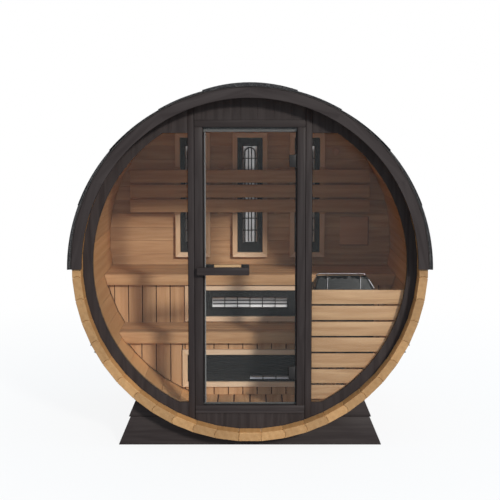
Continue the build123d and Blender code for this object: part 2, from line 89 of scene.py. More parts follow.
# %% Boards in a mesh
SEED = 48
rng = random.Random(SEED)


def everything(bm):
    """All the geometry of a mesh, as the operators want it."""
    return bm.verts[:] + bm.edges[:] + bm.faces[:]


def new_part():
    """An empty mesh whose points carry a board number."""
    bm = bmesh.new()
    bm.verts.layers.float.new("board")
    return bm


def number(bm, value):
    """Write a board's number on all its points."""
    layer = bm.verts.layers.float["board"]
    for v in bm.verts:
        v[layer] = value
    return bm


def ease(bm, width, segments=1, sharper_than=25):
    """Bevel every edge sharper than an angle."""
    sharp = [e for e in bm.edges if len(e.link_faces) == 2
             and e.calc_face_angle(0) > radians(sharper_than)]
    if sharp and width:
        bmesh.ops.bevel(bm, geom=sharp, offset=width, offset_type="OFFSET", segments=segments,
                        profile=0.5, affect="EDGES", material=-1, clamp_overlap=True)
    return bm


def put(part, bm, value=None):
    """Number a finished board and add it to the part that it belongs to."""
    if bm.verts:
        number(bm, rng.random() if value is None else value)
        mesh = bpy.data.meshes.new("scrap")
        bm.to_mesh(mesh)
        part.from_mesh(mesh)
        bpy.data.meshes.remove(mesh)
    bm.free()


print("board numbers start from seed", SEED)

# %% Pieces


def smooth_below(mesh, angle):
    """Shade smooth, but keep edges sharper than the angle crisp."""
    mesh.polygons.foreach_set("use_smooth", [True] * len(mesh.polygons))
    mesh.set_sharp_from_angle(angle=radians(angle))


def piece(name, part, body, materials, stands_for=(), angle=30):
    """Turn a mesh into a named object that rides on a body and replaces CAD nodes."""
    mesh = bpy.data.meshes.new(name)
    bmesh.ops.recalc_face_normals(part, faces=part.faces)
    part.to_mesh(mesh)
    part.free()
    smooth_below(mesh, angle)
    thing = bpy.data.objects.new(name, mesh)
    bpy.context.scene.collection.objects.link(thing)
    for material in materials if isinstance(materials, list) else [materials]:
        mesh.materials.append(material)
    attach(thing, body)
    if stands_for:
        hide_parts(*stands_for)
    return thing


print("nodes to dress:", len(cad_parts))

# %% [markdown]
# ## Wood
#
# Wood is one recipe with different colours.  The growth rings are wave bands bent by
# noise, the fibres are fine noise, and both are stretched a lot along the board.  The
# board's number shifts the pattern and changes the tone a little, because no two boards
# come from the same place in the log.  Painting each board by hand would give the same
# look, but this recipe follows the board wherever it is cut.

# %% Wood recipe


def rgb(r, g, b):
    """A screen colour, 0 to 255, as the linear colour that shaders use."""
    parts = [(c / 255) / 12.92 if c / 255 <= 0.04045 else (((c / 255) + 0.055) / 1.055) ** 2.4
             for c in (r, g, b)]
    return (*parts, 1.0)


class Nodes:
    """Shorthand for adding and joining nodes, in a new material or in the world."""

    def __init__(self, name, world=None):
        self.owner = world or bpy.data.materials.new(name)
        self.owner.use_nodes = True
        self.tree = self.owner.node_tree
        self.shader = self.tree.nodes["Background" if world else "Principled BSDF"]

    def add(self, kind, settings=None, **inputs):
        node = self.tree.nodes.new(kind)
        for key, value in (settings or {}).items():
            setattr(node, key, value)
        for key, value in inputs.items():
            self.feed(node.inputs[key.replace("_", " ")], value)
        return node

    def feed(self, socket, value):
        if isinstance(value, bpy.types.NodeSocket):
            self.tree.links.new(value, socket)
        else:
            socket.default_value = value

    def place(self):
        return self.add("ShaderNodeTexCoord").outputs["Object"]

    def board(self):
        return self.add("ShaderNodeAttribute", {"attribute_name": "board"}).outputs["Fac"]

    def math(self, operation, a, b=0.0):
        node = self.add("ShaderNodeMath", {"operation": operation})
        self.feed(node.inputs[0], a)
        self.feed(node.inputs[1], b)
        return node.outputs[0]

    def plus(self, a, b):
        return self.math("ADD", a, b)

    def times(self, a, b):
        return self.math("MULTIPLY", a, b)

    def grey(self, level):
        return self.add("ShaderNodeCombineColor", Red=level, Green=level, Blue=level).outputs[0]

    def ramp(self, factor, stops):
        node = self.add("ShaderNodeValToRGB")
        self.feed(node.inputs[0], factor)
        elements = node.color_ramp.elements
        while len(elements) < len(stops):
            elements.new(0.5)
        for element, (place, colour) in zip(elements, stops):
            element.position = place
            element.color = colour
        return node.outputs[0]

    def spread(self, value, low, high, to_low, to_high):
        node = self.add("ShaderNodeMapRange")
        for index, v in enumerate((value, low, high, to_low, to_high)):
            self.feed(node.inputs[index], v)
        return node.outputs[0]

    def noise(self, where, scale, detail=3.0, roughness=0.55):
        node = self.add("ShaderNodeTexNoise", Vector=where, Scale=scale, Detail=detail,
                        Roughness=roughness)
        return node.outputs["Fac"]

    def blend(self, factor, a, b, kind="MIX"):
        node = self.add("ShaderNodeMix", {"data_type": "RGBA", "blend_type": kind})
        self.feed(node.inputs[0], factor)
        self.feed(node.inputs[6], a)
        self.feed(node.inputs[7], b)
        return node.outputs[2]

    def bump(self, height, strength, distance):
        node = self.add("ShaderNodeBump", Height=height, Strength=strength, Distance=distance)
        self.feed(self.shader.inputs["Normal"], node.outputs[0])

    def finish(self, **sockets):
        for key, value in sockets.items():
            self.feed(self.shader.inputs[key.replace("_", " ")], value)
        return self.owner


def wood(name, dark, light, grain, tone=0.12, rings=0.5, roughness=0.55, shine=0.35,
         relief=0.25, length=0.045, waver=16.0, behind=None, ends=None):
    """A wood material.  grain is the axis, 0, 1 or 2, that the fibres run along.

    behind is (dark, light, y): other colours for what lies between +y and -y, where the
    stain stops.  ends is (share, y): how much of its colour end grain keeps beyond y.
    """
    n = Nodes(name)
    place = n.place()
    board = n.board()
    shift = n.add("ShaderNodeCombineXYZ", X=n.times(board, 13.1), Y=n.times(board, 27.7),
                  Z=n.times(board, 7.3))
    moved = n.add("ShaderNodeVectorMath", {"operation": "ADD"})
    n.feed(moved.inputs[0], place)
    n.feed(moved.inputs[1], shift.outputs[0])
    moved = moved.outputs[0]

    # the pattern is squeezed along the grain, and so comes out long
    squeeze = [1.0, 1.0, 1.0]
    squeeze[grain] = length
    fibres_at = n.add("ShaderNodeMapping", Vector=moved, Scale=squeeze).outputs[0]
    squeeze[grain] = length * 2.6
    rings_at = n.add("ShaderNodeMapping", Vector=moved, Scale=squeeze).outputs[0]
    wander = n.noise(rings_at, 5.0, 3.0)
    wave = n.add("ShaderNodeTexWave", {"wave_type": "RINGS", "rings_direction": "XYZ"[grain]},
                 Vector=rings_at, Scale=9.0, Detail=2.0, Detail_Scale=1.4, Detail_Roughness=0.6,
                 Distortion=n.spread(wander, 0.3, 0.7, waver / 4, waver))
    bands = wave.outputs["Fac"]
    fibres = n.noise(fibres_at, 260.0, 4.0, 0.65)
    streaks = n.noise(fibres_at, 38.0, 3.0, 0.6)
    mixed = n.plus(n.times(bands, rings * 0.5), n.times(streaks, 1.0 - rings * 0.5))
    figure = n.plus(n.times(mixed, 0.75), n.times(fibres, 0.25))

    # its two colours, and the bare ones behind a stain
    colour = n.ramp(figure, [(0.22, dark), (0.78, light)])
    depth = n.math("ABSOLUTE", n.add("ShaderNodeSeparateXYZ", Vector=place).outputs["Y"])
    if behind:
        bare = n.ramp(figure, [(0.22, behind[0]), (0.78, behind[1])])
        inner = n.spread(depth, behind[2] - 0.001, behind[2] + 0.001, 1.0, 0.0)
        colour = n.blend(inner, colour, bare)

    # each board is a little lighter or darker, and so are patches of it and its end grain
    cloud = n.noise(rings_at, 2.2, 2.0)
    level = n.plus(n.spread(board, 0.0, 1.0, 1.0 - tone, 1.0 + tone * 0.6),
                   n.spread(cloud, 0.3, 0.7, -tone * 0.35, tone * 0.35))
    if ends:
        flat_cut = n.add("ShaderNodeMapping", Vector=moved, Scale=(1.0, 0.0, 1.0)).outputs[0]
        pores = n.plus(n.noise(flat_cut, 34.0, 3.0, 0.7), n.noise(flat_cut, 150.0, 3.0, 0.7))
        cut = n.times(n.spread(pores, 0.7, 1.3, 0.84, 1.16), ends[0])
        level = n.times(level, n.spread(depth, ends[1] - 0.001, ends[1], 1.0, cut))
    n.bump(n.plus(n.times(fibres, 0.6), n.times(bands, 0.4)), relief, 0.0012)
    return n.finish(Base_Color=n.blend(1.0, colour, n.grey(level), "MULTIPLY"),
                    Specular_IOR_Level=shine,
                    Roughness=n.spread(figure, 0.2, 0.8, roughness + 0.1, roughness - 0.08))


print("half of full screen grey is", round(rgb(127.5, 127.5, 127.5)[0], 3), "to a shader")

# %% Wood finishes
ALONG_X, ALONG_Y, ALONG_Z = 0, 1, 2
natural_dark, natural_light = rgb(184, 137, 94), rgb(225, 182, 136)
stain_dark, stain_light = rgb(36, 29, 29), rgb(59, 52, 51)
bare_from = -wall_front - 0.018          # the front wall's stain stops 18 mm in
stave_grain = dict(tone=0.26, rings=0.35, length=0.014, waver=5.0)
stained = dict(tone=0.10, relief=0.30, shine=0.18)
small = dict(tone=0.05)
stave_wood = wood("stave_wood", rgb(222, 165, 106), rgb(246, 193, 133), ALONG_Y,
                  ends=(0.56, back_y - 0.001), **stave_grain)
# the inner face in the recesses beyond the end walls: darker, as painted shade
recess_shade_wood = wood("recess_shade_wood", rgb(192, 134, 78), rgb(214, 158, 100), ALONG_Y, **stave_grain)
boards_x = wood("natural_boards_x", natural_dark, natural_light, ALONG_X, tone=0.15)
boards_y = wood("natural_boards_y", natural_dark, natural_light, ALONG_Y, tone=0.15)
boards_z = wood("natural_boards_z", natural_dark, natural_light, ALONG_Z, tone=0.13, waver=9.0,
                length=0.03)
# dark wood for strips that are painted shade: in open joints, and as the vent cover's shadow
shadow_strip_wood = wood("joint_strips", rgb(60, 34, 16), rgb(86, 52, 27), ALONG_Z, shine=0.1)
pale_x = wood("pale_boards_x", rgb(232, 194, 158), rgb(252, 226, 194), ALONG_X, tone=0.08, rings=0.3)
pale_z = wood("pale_boards_z", rgb(218, 178, 138), rgb(244, 212, 174), ALONG_Z, tone=0.08, rings=0.3)
stain_x = wood("stained_boards_x", stain_dark, stain_light, ALONG_X, **stained)
stain_z = wood("stained_boards_z", stain_dark, stain_light, ALONG_Z, **stained)
wall_stain = wood("stained_boards_wall", stain_dark, stain_light, ALONG_Z,
                  behind=(natural_dark, natural_light, bare_from), **stained)
sensor_wood = wood("sensor_cap_wood", rgb(190, 146, 112), rgb(214, 168, 132), ALONG_Z, **small)
vent_wood = wood("vent_board", rgb(206, 154, 116), rgb(222, 174, 134), ALONG_X, **small)
grip_wood = wood("grip_wood", rgb(206, 160, 110), rgb(236, 196, 148), ALONG_X, rings=0.3, **small)
# near black, darker than the stain: partly the blocks' own dark wood, partly painted shade
grip_end_wood = wood("grip_end_wood", rgb(13, 11, 11), rgb(24, 21, 21), ALONG_X, shine=0.1, **small)
grey_stop = wood("grey_stops", rgb(76, 75, 73), rgb(102, 100, 97), ALONG_X, rings=0.1, **small)
print("the wall is bare from", round(bare_from, 3), "inwards")

# %% [markdown]
# ## Metal, roofing, glass
#
# Powder-coated metal shows a very fine orange-peel, polished steel shows faint rub marks
# in its gloss, and roofing felt is all coarse mineral grains.  The panes only need to be
# mostly see-through: real refraction would add nothing on a flat pane, and would keep the
# lamps' light out of the cabin.  The stones and the seal borrow the recipes for felt and
# for metal, because they only need grains and a dull gloss.

# %% Metal, felt and glass recipes


def darker(colour, share):
    """A share of a colour."""
    return (*(c * share for c in colour[:3]), 1.0)


def metal(name, colour, roughness, metallic=1.0, relief=0.08, rub=0.08, shine=0.5):
    """Metal with slightly uneven gloss."""
    n = Nodes(name)
    place = n.place()
    broad = n.noise(place, 14.0, 4.0)
    tint = n.blend(n.spread(broad, 0.3, 0.7, 0.0, 0.35), colour, darker(colour, 0.72))
    n.bump(n.noise(place, 600.0, 3.0), relief, 0.0004)
    return n.finish(Base_Color=tint, Metallic=metallic, Specular_IOR_Level=shine,
                    Roughness=n.spread(broad, 0.3, 0.7, roughness - rub, roughness + rub))


def felt(name, dark, light):
    """Mineral roofing felt: pale and dark grains on bitumen."""
    n = Nodes(name)
    place = n.place()
    grains = n.add("ShaderNodeTexVoronoi", Vector=place, Scale=420.0)
    speck = n.add("ShaderNodeSeparateColor", Color=grains.outputs["Color"]).outputs[0]
    patch = n.noise(place, 5.0, 4.0)
    colour = n.ramp(speck, [(0.0, dark), (0.7, light), (0.96, rgb(104, 102, 100))])
    level = n.plus(n.spread(patch, 0.3, 0.7, 0.78, 1.0), n.times(n.board(), 0.18))
    n.bump(grains.outputs["Distance"], 0.6, 0.0015)
    return n.finish(Base_Color=n.blend(1.0, colour, n.grey(level), "MULTIPLY"), Roughness=0.92,
                    Specular_IOR_Level=0.2)


def pane(name, colour, alpha, roughness=0.03, shine=0.5):
    """Clear glass, with a faint unevenness in its gloss.  Where it is nearly clear, its colour lies as
    a faint veil over what is behind it: a painted reflection.
    """
    n = Nodes(name)
    smear = n.noise(n.place(), 3.0, 4.0)
    return n.finish(Base_Color=n.blend(smear, colour, darker(colour, 0.85)), Alpha=alpha,
                    Specular_IOR_Level=shine,
                    Roughness=n.spread(smear, 0.3, 0.7, roughness, roughness + 0.05))


print("a darker white:", darker(rgb(255, 255, 255), 0.72))

# %% Metal, roofing and glass finishes
PANE_ALPHA = 0.08
coat = dict(metallic=0.0, relief=0.15)
mirror = metal("bright_reflector", rgb(214, 214, 215), 0.34, rub=0.04, relief=0.0)
dull_mirror = metal("dull_reflector", rgb(170, 174, 182), 0.36, rub=0.04, relief=0.0)
band_steel = metal("band_steel", rgb(128, 130, 133), 0.40, rub=0.1, relief=0.12)
steel = metal("polished_steel", rgb(206, 206, 208), 0.2)
black_coat = metal("black_coated_metal", rgb(27, 26, 27), 0.48, shine=0.3, **coat)
slate_coat = metal("slate_coated_metal", rgb(30, 31, 32), 0.55, shine=0.25, **coat)
hood_coat = metal("hood_coated_metal", rgb(26, 27, 27), 0.45, shine=0.3, **coat)
seal_rubber = metal("seal_rubber", rgb(150, 149, 147), 0.6, metallic=0.0, shine=0.3)
tube_glass = metal("heater_tube", rgb(96, 96, 98), 0.35, metallic=0.5)
roofing = felt("roofing_felt", rgb(34, 33, 35), rgb(62, 60, 61))
stone = felt("sauna_stone", rgb(48, 49, 50), rgb(92, 92, 90))
# its faint grey lies as a veil over what is behind: painted reflection
pane_with_painted_veil = pane("pane_with_painted_veil", rgb(98, 101, 102), PANE_ALPHA)
pane_edge = pane("pane_edge", rgb(38, 40, 38), 0.7, 0.5, shine=0.1)
print("a pane stops", PANE_ALPHA, "of the light")

# %% [markdown]
# ## The staves
#
# A stave is a long board with a round bead along one edge and a matching cove along the
# other, so that the ring closes without a gap at any angle.  Only its end shows the
# profile.  A few points outline the end, and one extrusion gives the board.  The beads
# face upwards on both sides, because rain then runs off the joint.  The short stretch of
# inner face beyond each end wall lies in the recess, and is painted darker there: painted
# shade.  Two cuts across the board give it faces that can carry that colour.

# %% Stave profile
BEAD = 0.010                  # how far the round edge stands out
SHOULDER = 0.003              # the flat above and below it
JOINT = 0.0009                # half the width of a joint
PROFILE_POINTS = 9


def edge_profile(side, bulge):
    """Points up one edge of a stave end, from the inner face to the outer one."""
    turn = side * (STEP / 2 - JOINT / barrel_radius)
    points = []
    for i in range(PROFILE_POINTS):
        share = i / (PROFILE_POINTS - 1)
        radius = inner_radius + SHOULDER + share * (stave_thickness - 2 * SHOULDER)
        swell = bulge * sqrt(max(0.0, 1 - (2 * share - 1) ** 2))
        points.append((radius * sin(turn) + swell, radius * cos(turn)))
    low = (inner_radius * sin(turn), inner_radius * cos(turn))
    high = (barrel_radius * sin(turn), barrel_radius * cos(turn))
    scale = 1 / flat
    return [(x * scale, z * scale) for x, z in [low] + points + [high]]


def shade_recess(bm):
    """Give the inner face beyond the two end walls a darker colour: painted shade of the recess."""
    for y in (wall_front, back_high.y):
        bmesh.ops.bisect_plane(bm, geom=everything(bm), dist=1e-6, plane_co=(0, y, 0),
                               plane_no=(0, 1, 0))
    bm.normal_update()
    for f in bm.faces:
        spot = f.calc_center_median()
        out = Vector((spot.x, 0, spot.z - axis_z))
        beyond = not wall_front < spot.y < back_high.y
        if beyond and out.length < inner_radius + 0.002 and abs(f.normal.y) < 0.1:
            f.material_index = 1


print("points along one edge of a stave:", len(edge_profile(1, BEAD)))

# %% Staves


def prism(outline, y0, y1):
    """A flat outline of (x, z) points, extruded from y0 to y1."""
    bm = new_part()
    corners = [bm.verts.new((x, y0, z)) for x, z in outline]
    out = bmesh.ops.extrude_face_region(bm, geom=[bm.faces.new(corners)])
    moved = [v for v in out["geom"] if isinstance(v, bmesh.types.BMVert)]
    bmesh.ops.translate(bm, vec=(0, y1 - y0, 0), verts=moved)
    bmesh.ops.recalc_face_normals(bm, faces=bm.faces)
    return bm


def stave(k):
    """Stave number k, counted from the top towards +X, with its bead and cove."""
    turned = k % STAVES
    bottom = STAVES // 2
    if turned == 0:
        left_bulge, right_bulge = BEAD, -BEAD
    elif turned == bottom:
        left_bulge, right_bulge = 0.0, 0.0
    elif turned < bottom:
        left_bulge, right_bulge = -BEAD, 0.0 if turned == bottom - 1 else -BEAD
    else:
        left_bulge, right_bulge = 0.0 if turned == bottom + 1 else BEAD, BEAD
    outline = edge_profile(-1, left_bulge) + edge_profile(1, right_bulge)[::-1]
    bm = prism([(x, axis_z + z) for x, z in outline], front_y, back_y)
    bmesh.ops.rotate(bm, cent=(0, 0, axis_z), matrix=Matrix.Rotation(k * STEP, 3, "Y"),
                     verts=bm.verts)
    shade_recess(bm)
    return ease(bm, 0.0026, 1, 40)


quarter = STAVES // 4
for q, side in enumerate(("top", "right", "bottom", "left")):
    part = new_part()
    first = q * quarter - quarter // 2
    for k in range(first, first + quarter):
        put(part, stave(k))
    piece(f"stave_ring_{side}", part, "cabin", [stave_wood, recess_shade_wood],
          [f"staves_{side}"])
print("staves:", STAVES)

# %% [markdown]
# ## Hoops and roof boards
#
# Three steel straps hold the staves together.  Each lies flat on the 48 stave faces, so
# it is a ring of 48 short straights: a thin rectangle spun in 48 steps, starting half a
# step round so that its corners meet the stave corners.  A bolt through two lugs tightens
# each strap low on both sides.  Thin boards lie over the straps and carry the roofing;
# their solids are already right and only need their wood.

# %% Hoops


def spun(profile, angle, steps, start_turn=0.0):
    """A flat outline swept about the barrel axis into a solid, or into a closed ring."""
    centre, axis = (0, 0, axis_z), (0, 1, 0)
    bm = new_part()
    corners = [bm.verts.new(p) for p in profile]
    face = bm.faces.new(corners)
    if start_turn:
        turn = Matrix.Rotation(start_turn, 3, Vector(axis))
        bmesh.ops.rotate(bm, cent=centre, matrix=turn, verts=bm.verts)
    ring = abs(abs(angle) - 2 * pi) < 1e-6
    bmesh.ops.spin(bm, geom=[face] + face.edges[:] + face.verts[:], cent=centre, axis=axis,
                   angle=angle, steps=steps, use_merge=ring, use_normal_flip=False,
                   use_duplicate=False, dvec=(0, 0, 0))
    if ring:
        bmesh.ops.remove_doubles(bm, verts=bm.verts, dist=1e-6)
        inside = [f for f in bm.faces if all(len(e.link_faces) > 2 for e in f.edges)]
        bmesh.ops.delete(bm, geom=inside, context="FACES_ONLY")
    bmesh.ops.recalc_face_normals(bm, faces=bm.faces)
    return bm


hoop_width = 0.025
hoop_starts = [hoop_low.y, (hoop_low.y + hoop_high.y - hoop_width) / 2, hoop_high.y - hoop_width]
hoop_face = barrel_radius + 0.0015       # outer face of a strap
strap_in, strap_out = (barrel_radius + FIT) / flat, hoop_face / flat
part = new_part()
for y in hoop_starts:
    outline = [(0, y, axis_z + strap_in), (0, y + hoop_width, axis_z + strap_in),
               (0, y + hoop_width, axis_z + strap_out), (0, y, axis_z + strap_out)]
    put(part, spun(outline, 2 * pi, STAVES, STEP / 2))
piece("hoops", part, "cabin", band_steel, ["steel_hoops"])
print("hoops at", [round(y, 3) for y in hoop_starts])

# %% Bars and boxes


def cube(low, high):
    """A box between two corners."""
    bm = new_part()
    bmesh.ops.create_cube(bm, size=1.0)
    low, high = Vector(low), Vector(high)
    bmesh.ops.scale(bm, vec=high - low, verts=bm.verts)
    bmesh.ops.translate(bm, vec=(low + high) / 2, verts=bm.verts)
    return bm


def round_bar(part, start, end, radius, sides=16, edge=0.0):
    """A round rod between two points."""
    start, end = Vector(start), Vector(end)
    along = end - start
    bm = new_part()
    bmesh.ops.create_cone(bm, cap_ends=True, segments=sides, radius1=radius, radius2=radius,
                          depth=along.length)
    turn = along.to_track_quat("Z", "Y").to_matrix()
    bmesh.ops.rotate(bm, cent=(0, 0, 0), matrix=turn, verts=bm.verts)
    bmesh.ops.translate(bm, vec=(start + end) / 2, verts=bm.verts)
    if edge:
        ease(bm, edge, 2, 50)
    put(part, bm)


def on_barrel(radius, angle, y):
    """A point at a radius from the barrel axis; the angle runs from the top towards +X."""
    return Vector((radius * sin(angle), y, axis_z + radius * cos(angle)))


print("the top of the barrel is at", tuple(round(c, 3) for c in on_barrel(barrel_radius, 0, 0)))

# %% Hoop clamps
CLAMP_TURN = radians(118)                # from the top, so low on the side
LUG_HEIGHT = 0.018
LUG_PLACE = 0.022                        # from the middle of the clamp
BOLT_HEIGHT = 0.011                      # above the stave
clamp_part = new_part()
for y in hoop_starts:
    for side in (-1, 1):
        turn = side * CLAMP_TURN
        for half in (-1, 1):
            lug = cube((-0.002, y + 0.001, axis_z + hoop_face),
                       (0.002, y + hoop_width - 0.001, axis_z + hoop_face + LUG_HEIGHT))
            bmesh.ops.translate(lug, vec=(half * LUG_PLACE, 0, 0), verts=lug.verts)
            bmesh.ops.rotate(lug, cent=(0, 0, axis_z), matrix=Matrix.Rotation(turn, 3, "Y"),
                             verts=lug.verts)
            put(clamp_part, ease(lug, 0.0008))
        centre = on_barrel(barrel_radius + BOLT_HEIGHT, turn, y + hoop_width / 2)
        along = Vector((cos(turn), 0, -sin(turn)))
        # the bolt's shank, its head and its nut
        for start, end, radius, sides in ((-0.040, 0.034, 0.003, 10), (-0.031, -0.0245, 0.0065, 6),
                                          (0.0245, 0.030, 0.0060, 6)):
            round_bar(clamp_part, centre + along * start, centre + along * end, radius, sides)
piece("hoop_clamps", clamp_part, "cabin", band_steel)
print("clamps:", 2 * len(hoop_starts))

# %% Roof boards
# dark stained, which also stands in for the shade under the roof's edge: partly painted shade
roof_board = wood("roof_boards", rgb(34, 28, 27), rgb(56, 49, 47), ALONG_Y, tone=0.15)
for node in ("roof_deck_left", "roof_deck_right"):
    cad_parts[node].data.materials.clear()
    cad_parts[node].data.materials.append(roof_board)
    print(node, "is of", roof_board.name)

# %% [markdown]
# ## Roofing
#
# The roof is laid in courses of felt tabs, each lapped by the next one up, with a ridge
# cap along the top.  A tab is a thin rectangle spun about the barrel axis through its
# own arc; its lower edge is then pushed out by the thickness of what it laps.  The
# slots between the tabs are real gaps down to the layer under them.

# %% Roofing
course_turns = [radians(a) for a in (15, 30, 50, 70, 90.7)]
course_tops = (0.0082, 0.0056, 0.0092, 0.0118)      # thickness of each course at its upper edge
course_butts = (0.0098, 0.0132, 0.0150, 0.0180)     # and at its lower edge
deck_in = barrel_radius + 0.0018         # the roof boards lie over the straps
DECK = 0.0035
felt_in = (deck_in + DECK) / flat + FIT
roof_low, roof_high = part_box("roof_ridge")
roof_front, roof_back = roof_low.y, roof_high.y
roof_length = roof_back - roof_front
TAB_ROW = 6                   # tabs in a course
SLOT = 0.006                  # between two tabs
TAB = 0.0026                  # thickness of a tab
SEAM = 0.0002                 # between two courses, in radians


def tab(y0, y1, a0, a1, inner, thin, thick, steps):
    """A curved strip from angle a0, where it is thin, to a1, where it is thick."""
    outline = [on_barrel(inner, a0, y0), on_barrel(inner, a0, y1),
               on_barrel(inner + thin, a0, y1), on_barrel(inner + thin, a0, y0)]
    bm = spun(outline, a1 - a0, steps)
    for v in bm.verts:
        out = Vector((v.co.x, 0, v.co.z - axis_z))
        if out.length > inner + thin * 0.5:
            angle = Vector((0, 1)).angle(Vector((out.x, out.z)))
            share = (angle - abs(a0)) / (abs(a1) - abs(a0))
            out *= (inner + thin + (thick - thin) * share) / out.length
            v.co.x, v.co.z = out.x, axis_z + out.z
    return bm


for side, word in ((1, "right"), (-1, "left")):
    part = new_part()
    for row, (a0, a1) in enumerate(zip(course_turns, course_turns[1:])):
        thin, thick = course_tops[row] - 0.0001, course_butts[row] - 0.0001
        upper, lower = side * (a0 + SEAM), side * (a1 - SEAM)
        # a plain layer first, which shows in the slots, and then the tabs over it
        base = tab(roof_front, roof_back, upper, lower, felt_in, thin - 0.0024, thick - 0.0034, 10)
        put(part, ease(base, 0.0003, 1, 40), 0.2)
        pitch = roof_length / TAB_ROW
        edges = [roof_front + (j + 0.5 * (row % 2)) * pitch for j in range(TAB_ROW + 1)]
        edges = [roof_front] + [y for y in edges if roof_front < y < roof_back] + [roof_back]
        for y0, y1 in zip(edges, edges[1:]):
            low = y0 + (SLOT / 2 if y0 > roof_front else 0)
            high = y1 - (SLOT / 2 if y1 < roof_back else 0)
            strip = tab(low, high, upper, lower, felt_in + thin - TAB, TAB, thick - thin + TAB, 10)
            put(part, ease(strip, 0.0008, 1, 40))
    piece(f"roofing_{word}", part, "cabin", roofing, [f"roof_courses_{word}"])
print("courses on each side:", len(course_butts))

# %% Ridge cap
CAPS = 8
CAP_LAP = 0.030               # how far two caps overlap
CAP_LIFT = 0.0016             # every other cap lies this much higher
CAP_EDGE = 0.0142             # its height above the boards at the sides
CAP_CROWN = 0.0081            # and how much more along the middle
part = new_part()
cap_pitch = roof_length / CAPS
edge = -course_turns[0]
for j in range(CAPS):
    y0 = roof_front + j * cap_pitch
    y1 = min(y0 + cap_pitch + CAP_LAP, roof_back)
    lift = CAP_LIFT if j % 2 else 0.0
    outline = [on_barrel(felt_in + lift * 0.5, edge, y0), on_barrel(felt_in + lift * 0.5, edge, y1),
               on_barrel(felt_in + CAP_EDGE, edge, y1), on_barrel(felt_in + CAP_EDGE + lift, edge, y0)]
    cap = spun(outline, -2 * edge, 16)
    for v in cap.verts:
        out = Vector((v.co.x, 0, v.co.z - axis_z))
        if out.length > felt_in + 0.004:
            share = 1 - (v.co.x / (felt_in * sin(course_turns[0]))) ** 2
            out *= (out.length + CAP_CROWN * max(0.0, share)) / out.length
            v.co.x, v.co.z = out.x, axis_z + out.z
    put(part, ease(cap, 0.0010, 2, 40))
piece("ridge_cap", part, "cabin", roofing, ["roof_ridge"])
print("roof from", round(roof_front, 3), "to", round(roof_back, 3))

# %% [markdown]
# ## Fascia
#
# The curved trim under the roof edge is sawn from six stained boards, butted tight end
# to end from one eaves to the other.  Each is a rectangle with its corners taken off,
# spun through its own share of the arc.  Its grain runs straight, as in the board it was
# sawn from, so each segment has the wood recipe turned to its own angle.

# %% Fascia
FASCIA_SEGMENTS = 6
FASCIA_DEPTH = 0.0575
FASCIA_EDGE = 0.0018          # taken off each corner
FASCIA_SEAM = 0.0001          # half the joint between two boards, in radians
fascia_out = hoop_face
fascia_in = fascia_out - FASCIA_DEPTH
eaves_turn = course_turns[-1]
fascia_turn = 2 * eaves_turn / FASCIA_SEGMENTS


def paint(bm, slot):
    """Give every face of a mesh one material slot."""
    for f in bm.faces:
        f.material_index = slot
    return bm


def turned_stain(index):
    """Stained wood whose grain lies along one fascia segment."""
    material = stain_x.copy()
    material.name = f"stained_curve_{index}"
    angle = -eaves_turn + (index + 0.5) * fascia_turn
    coords = [x for x in material.node_tree.nodes if x.type == "TEX_COORD"][0]
    users = [link.to_socket for link in coords.outputs["Object"].links]
    turn = material.node_tree.nodes.new("ShaderNodeMapping")
    turn.inputs["Rotation"].default_value = (0, -angle, 0)
    material.node_tree.links.new(coords.outputs["Object"], turn.inputs["Vector"])
    for socket in users:
        material.node_tree.links.new(turn.outputs[0], socket)
    return material


fascia_stains = [turned_stain(k) for k in range(FASCIA_SEGMENTS)]
for node in ("fascia_front", "fascia_back"):
    low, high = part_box(node)
    part = new_part()
    for k in range(FASCIA_SEGMENTS):
        a0 = -eaves_turn + k * fascia_turn + FASCIA_SEAM
        corners = [(fascia_in, low.y, FASCIA_EDGE, FASCIA_EDGE),
                   (fascia_out, low.y, -FASCIA_EDGE, FASCIA_EDGE),
                   (fascia_out, high.y, -FASCIA_EDGE, -FASCIA_EDGE),
                   (fascia_in, high.y, FASCIA_EDGE, -FASCIA_EDGE)]
        outline = []
        for turned, (radius, y, inward, along) in enumerate(corners):
            pair = [on_barrel(radius, a0, y + along), on_barrel(radius + inward, a0, y)]
            outline += pair[::-1] if turned % 2 else pair
        board = spun(outline, fascia_turn - 2 * FASCIA_SEAM, 10)
        put(part, paint(board, k), 1.0)
    piece(node + "_boards", part, "cabin", fascia_stains, [node])
print("fascia radius", round(fascia_in, 4), "to", round(fascia_out, 4))

# %% [markdown]
# ## Cradles
#
# The barrel rests in two cradles: a heavy beam with its ends sawn on a slope, and a
# wedge block on each end.  The measured solids already have the right cuts, so each is
# copied, cleaned of its doubled points, and given eased edges.

# %% Boards from the solids


def solids_of(*nodes):
    """Each separate solid of some CAD nodes, as its own clean mesh."""
    found = []
    for node in nodes:
        whole = bmesh.new()
        whole.from_mesh(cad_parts[node].data)
        bmesh.ops.remove_doubles(whole, verts=whole.verts, dist=1e-5)
        whole.verts.ensure_lookup_table()
        left = set(whole.verts)
        while left:
            todo = [left.pop()]
            group = set(todo)
            while todo:
                for e in todo.pop().link_edges:
                    for v in e.verts:
                        if v in left:
                            left.discard(v)
                            group.add(v)
                            todo.append(v)
            one = whole.copy()
            one.verts.ensure_lookup_table()
            keep = {v.index for v in group}
            bmesh.ops.delete(one, geom=[v for v in one.verts if v.index not in keep],
                             context="VERTS")
            one.verts.layers.float.new("board")
            bmesh.ops.dissolve_limit(one, angle_limit=radians(1), verts=one.verts,
                                     edges=one.edges)
            found.append(one)
        whole.free()
    return sorted(found, key=lambda b: tuple(round(sum(v.co[i] for v in b.verts) / len(b.verts), 4)
                                             for i in range(3)))


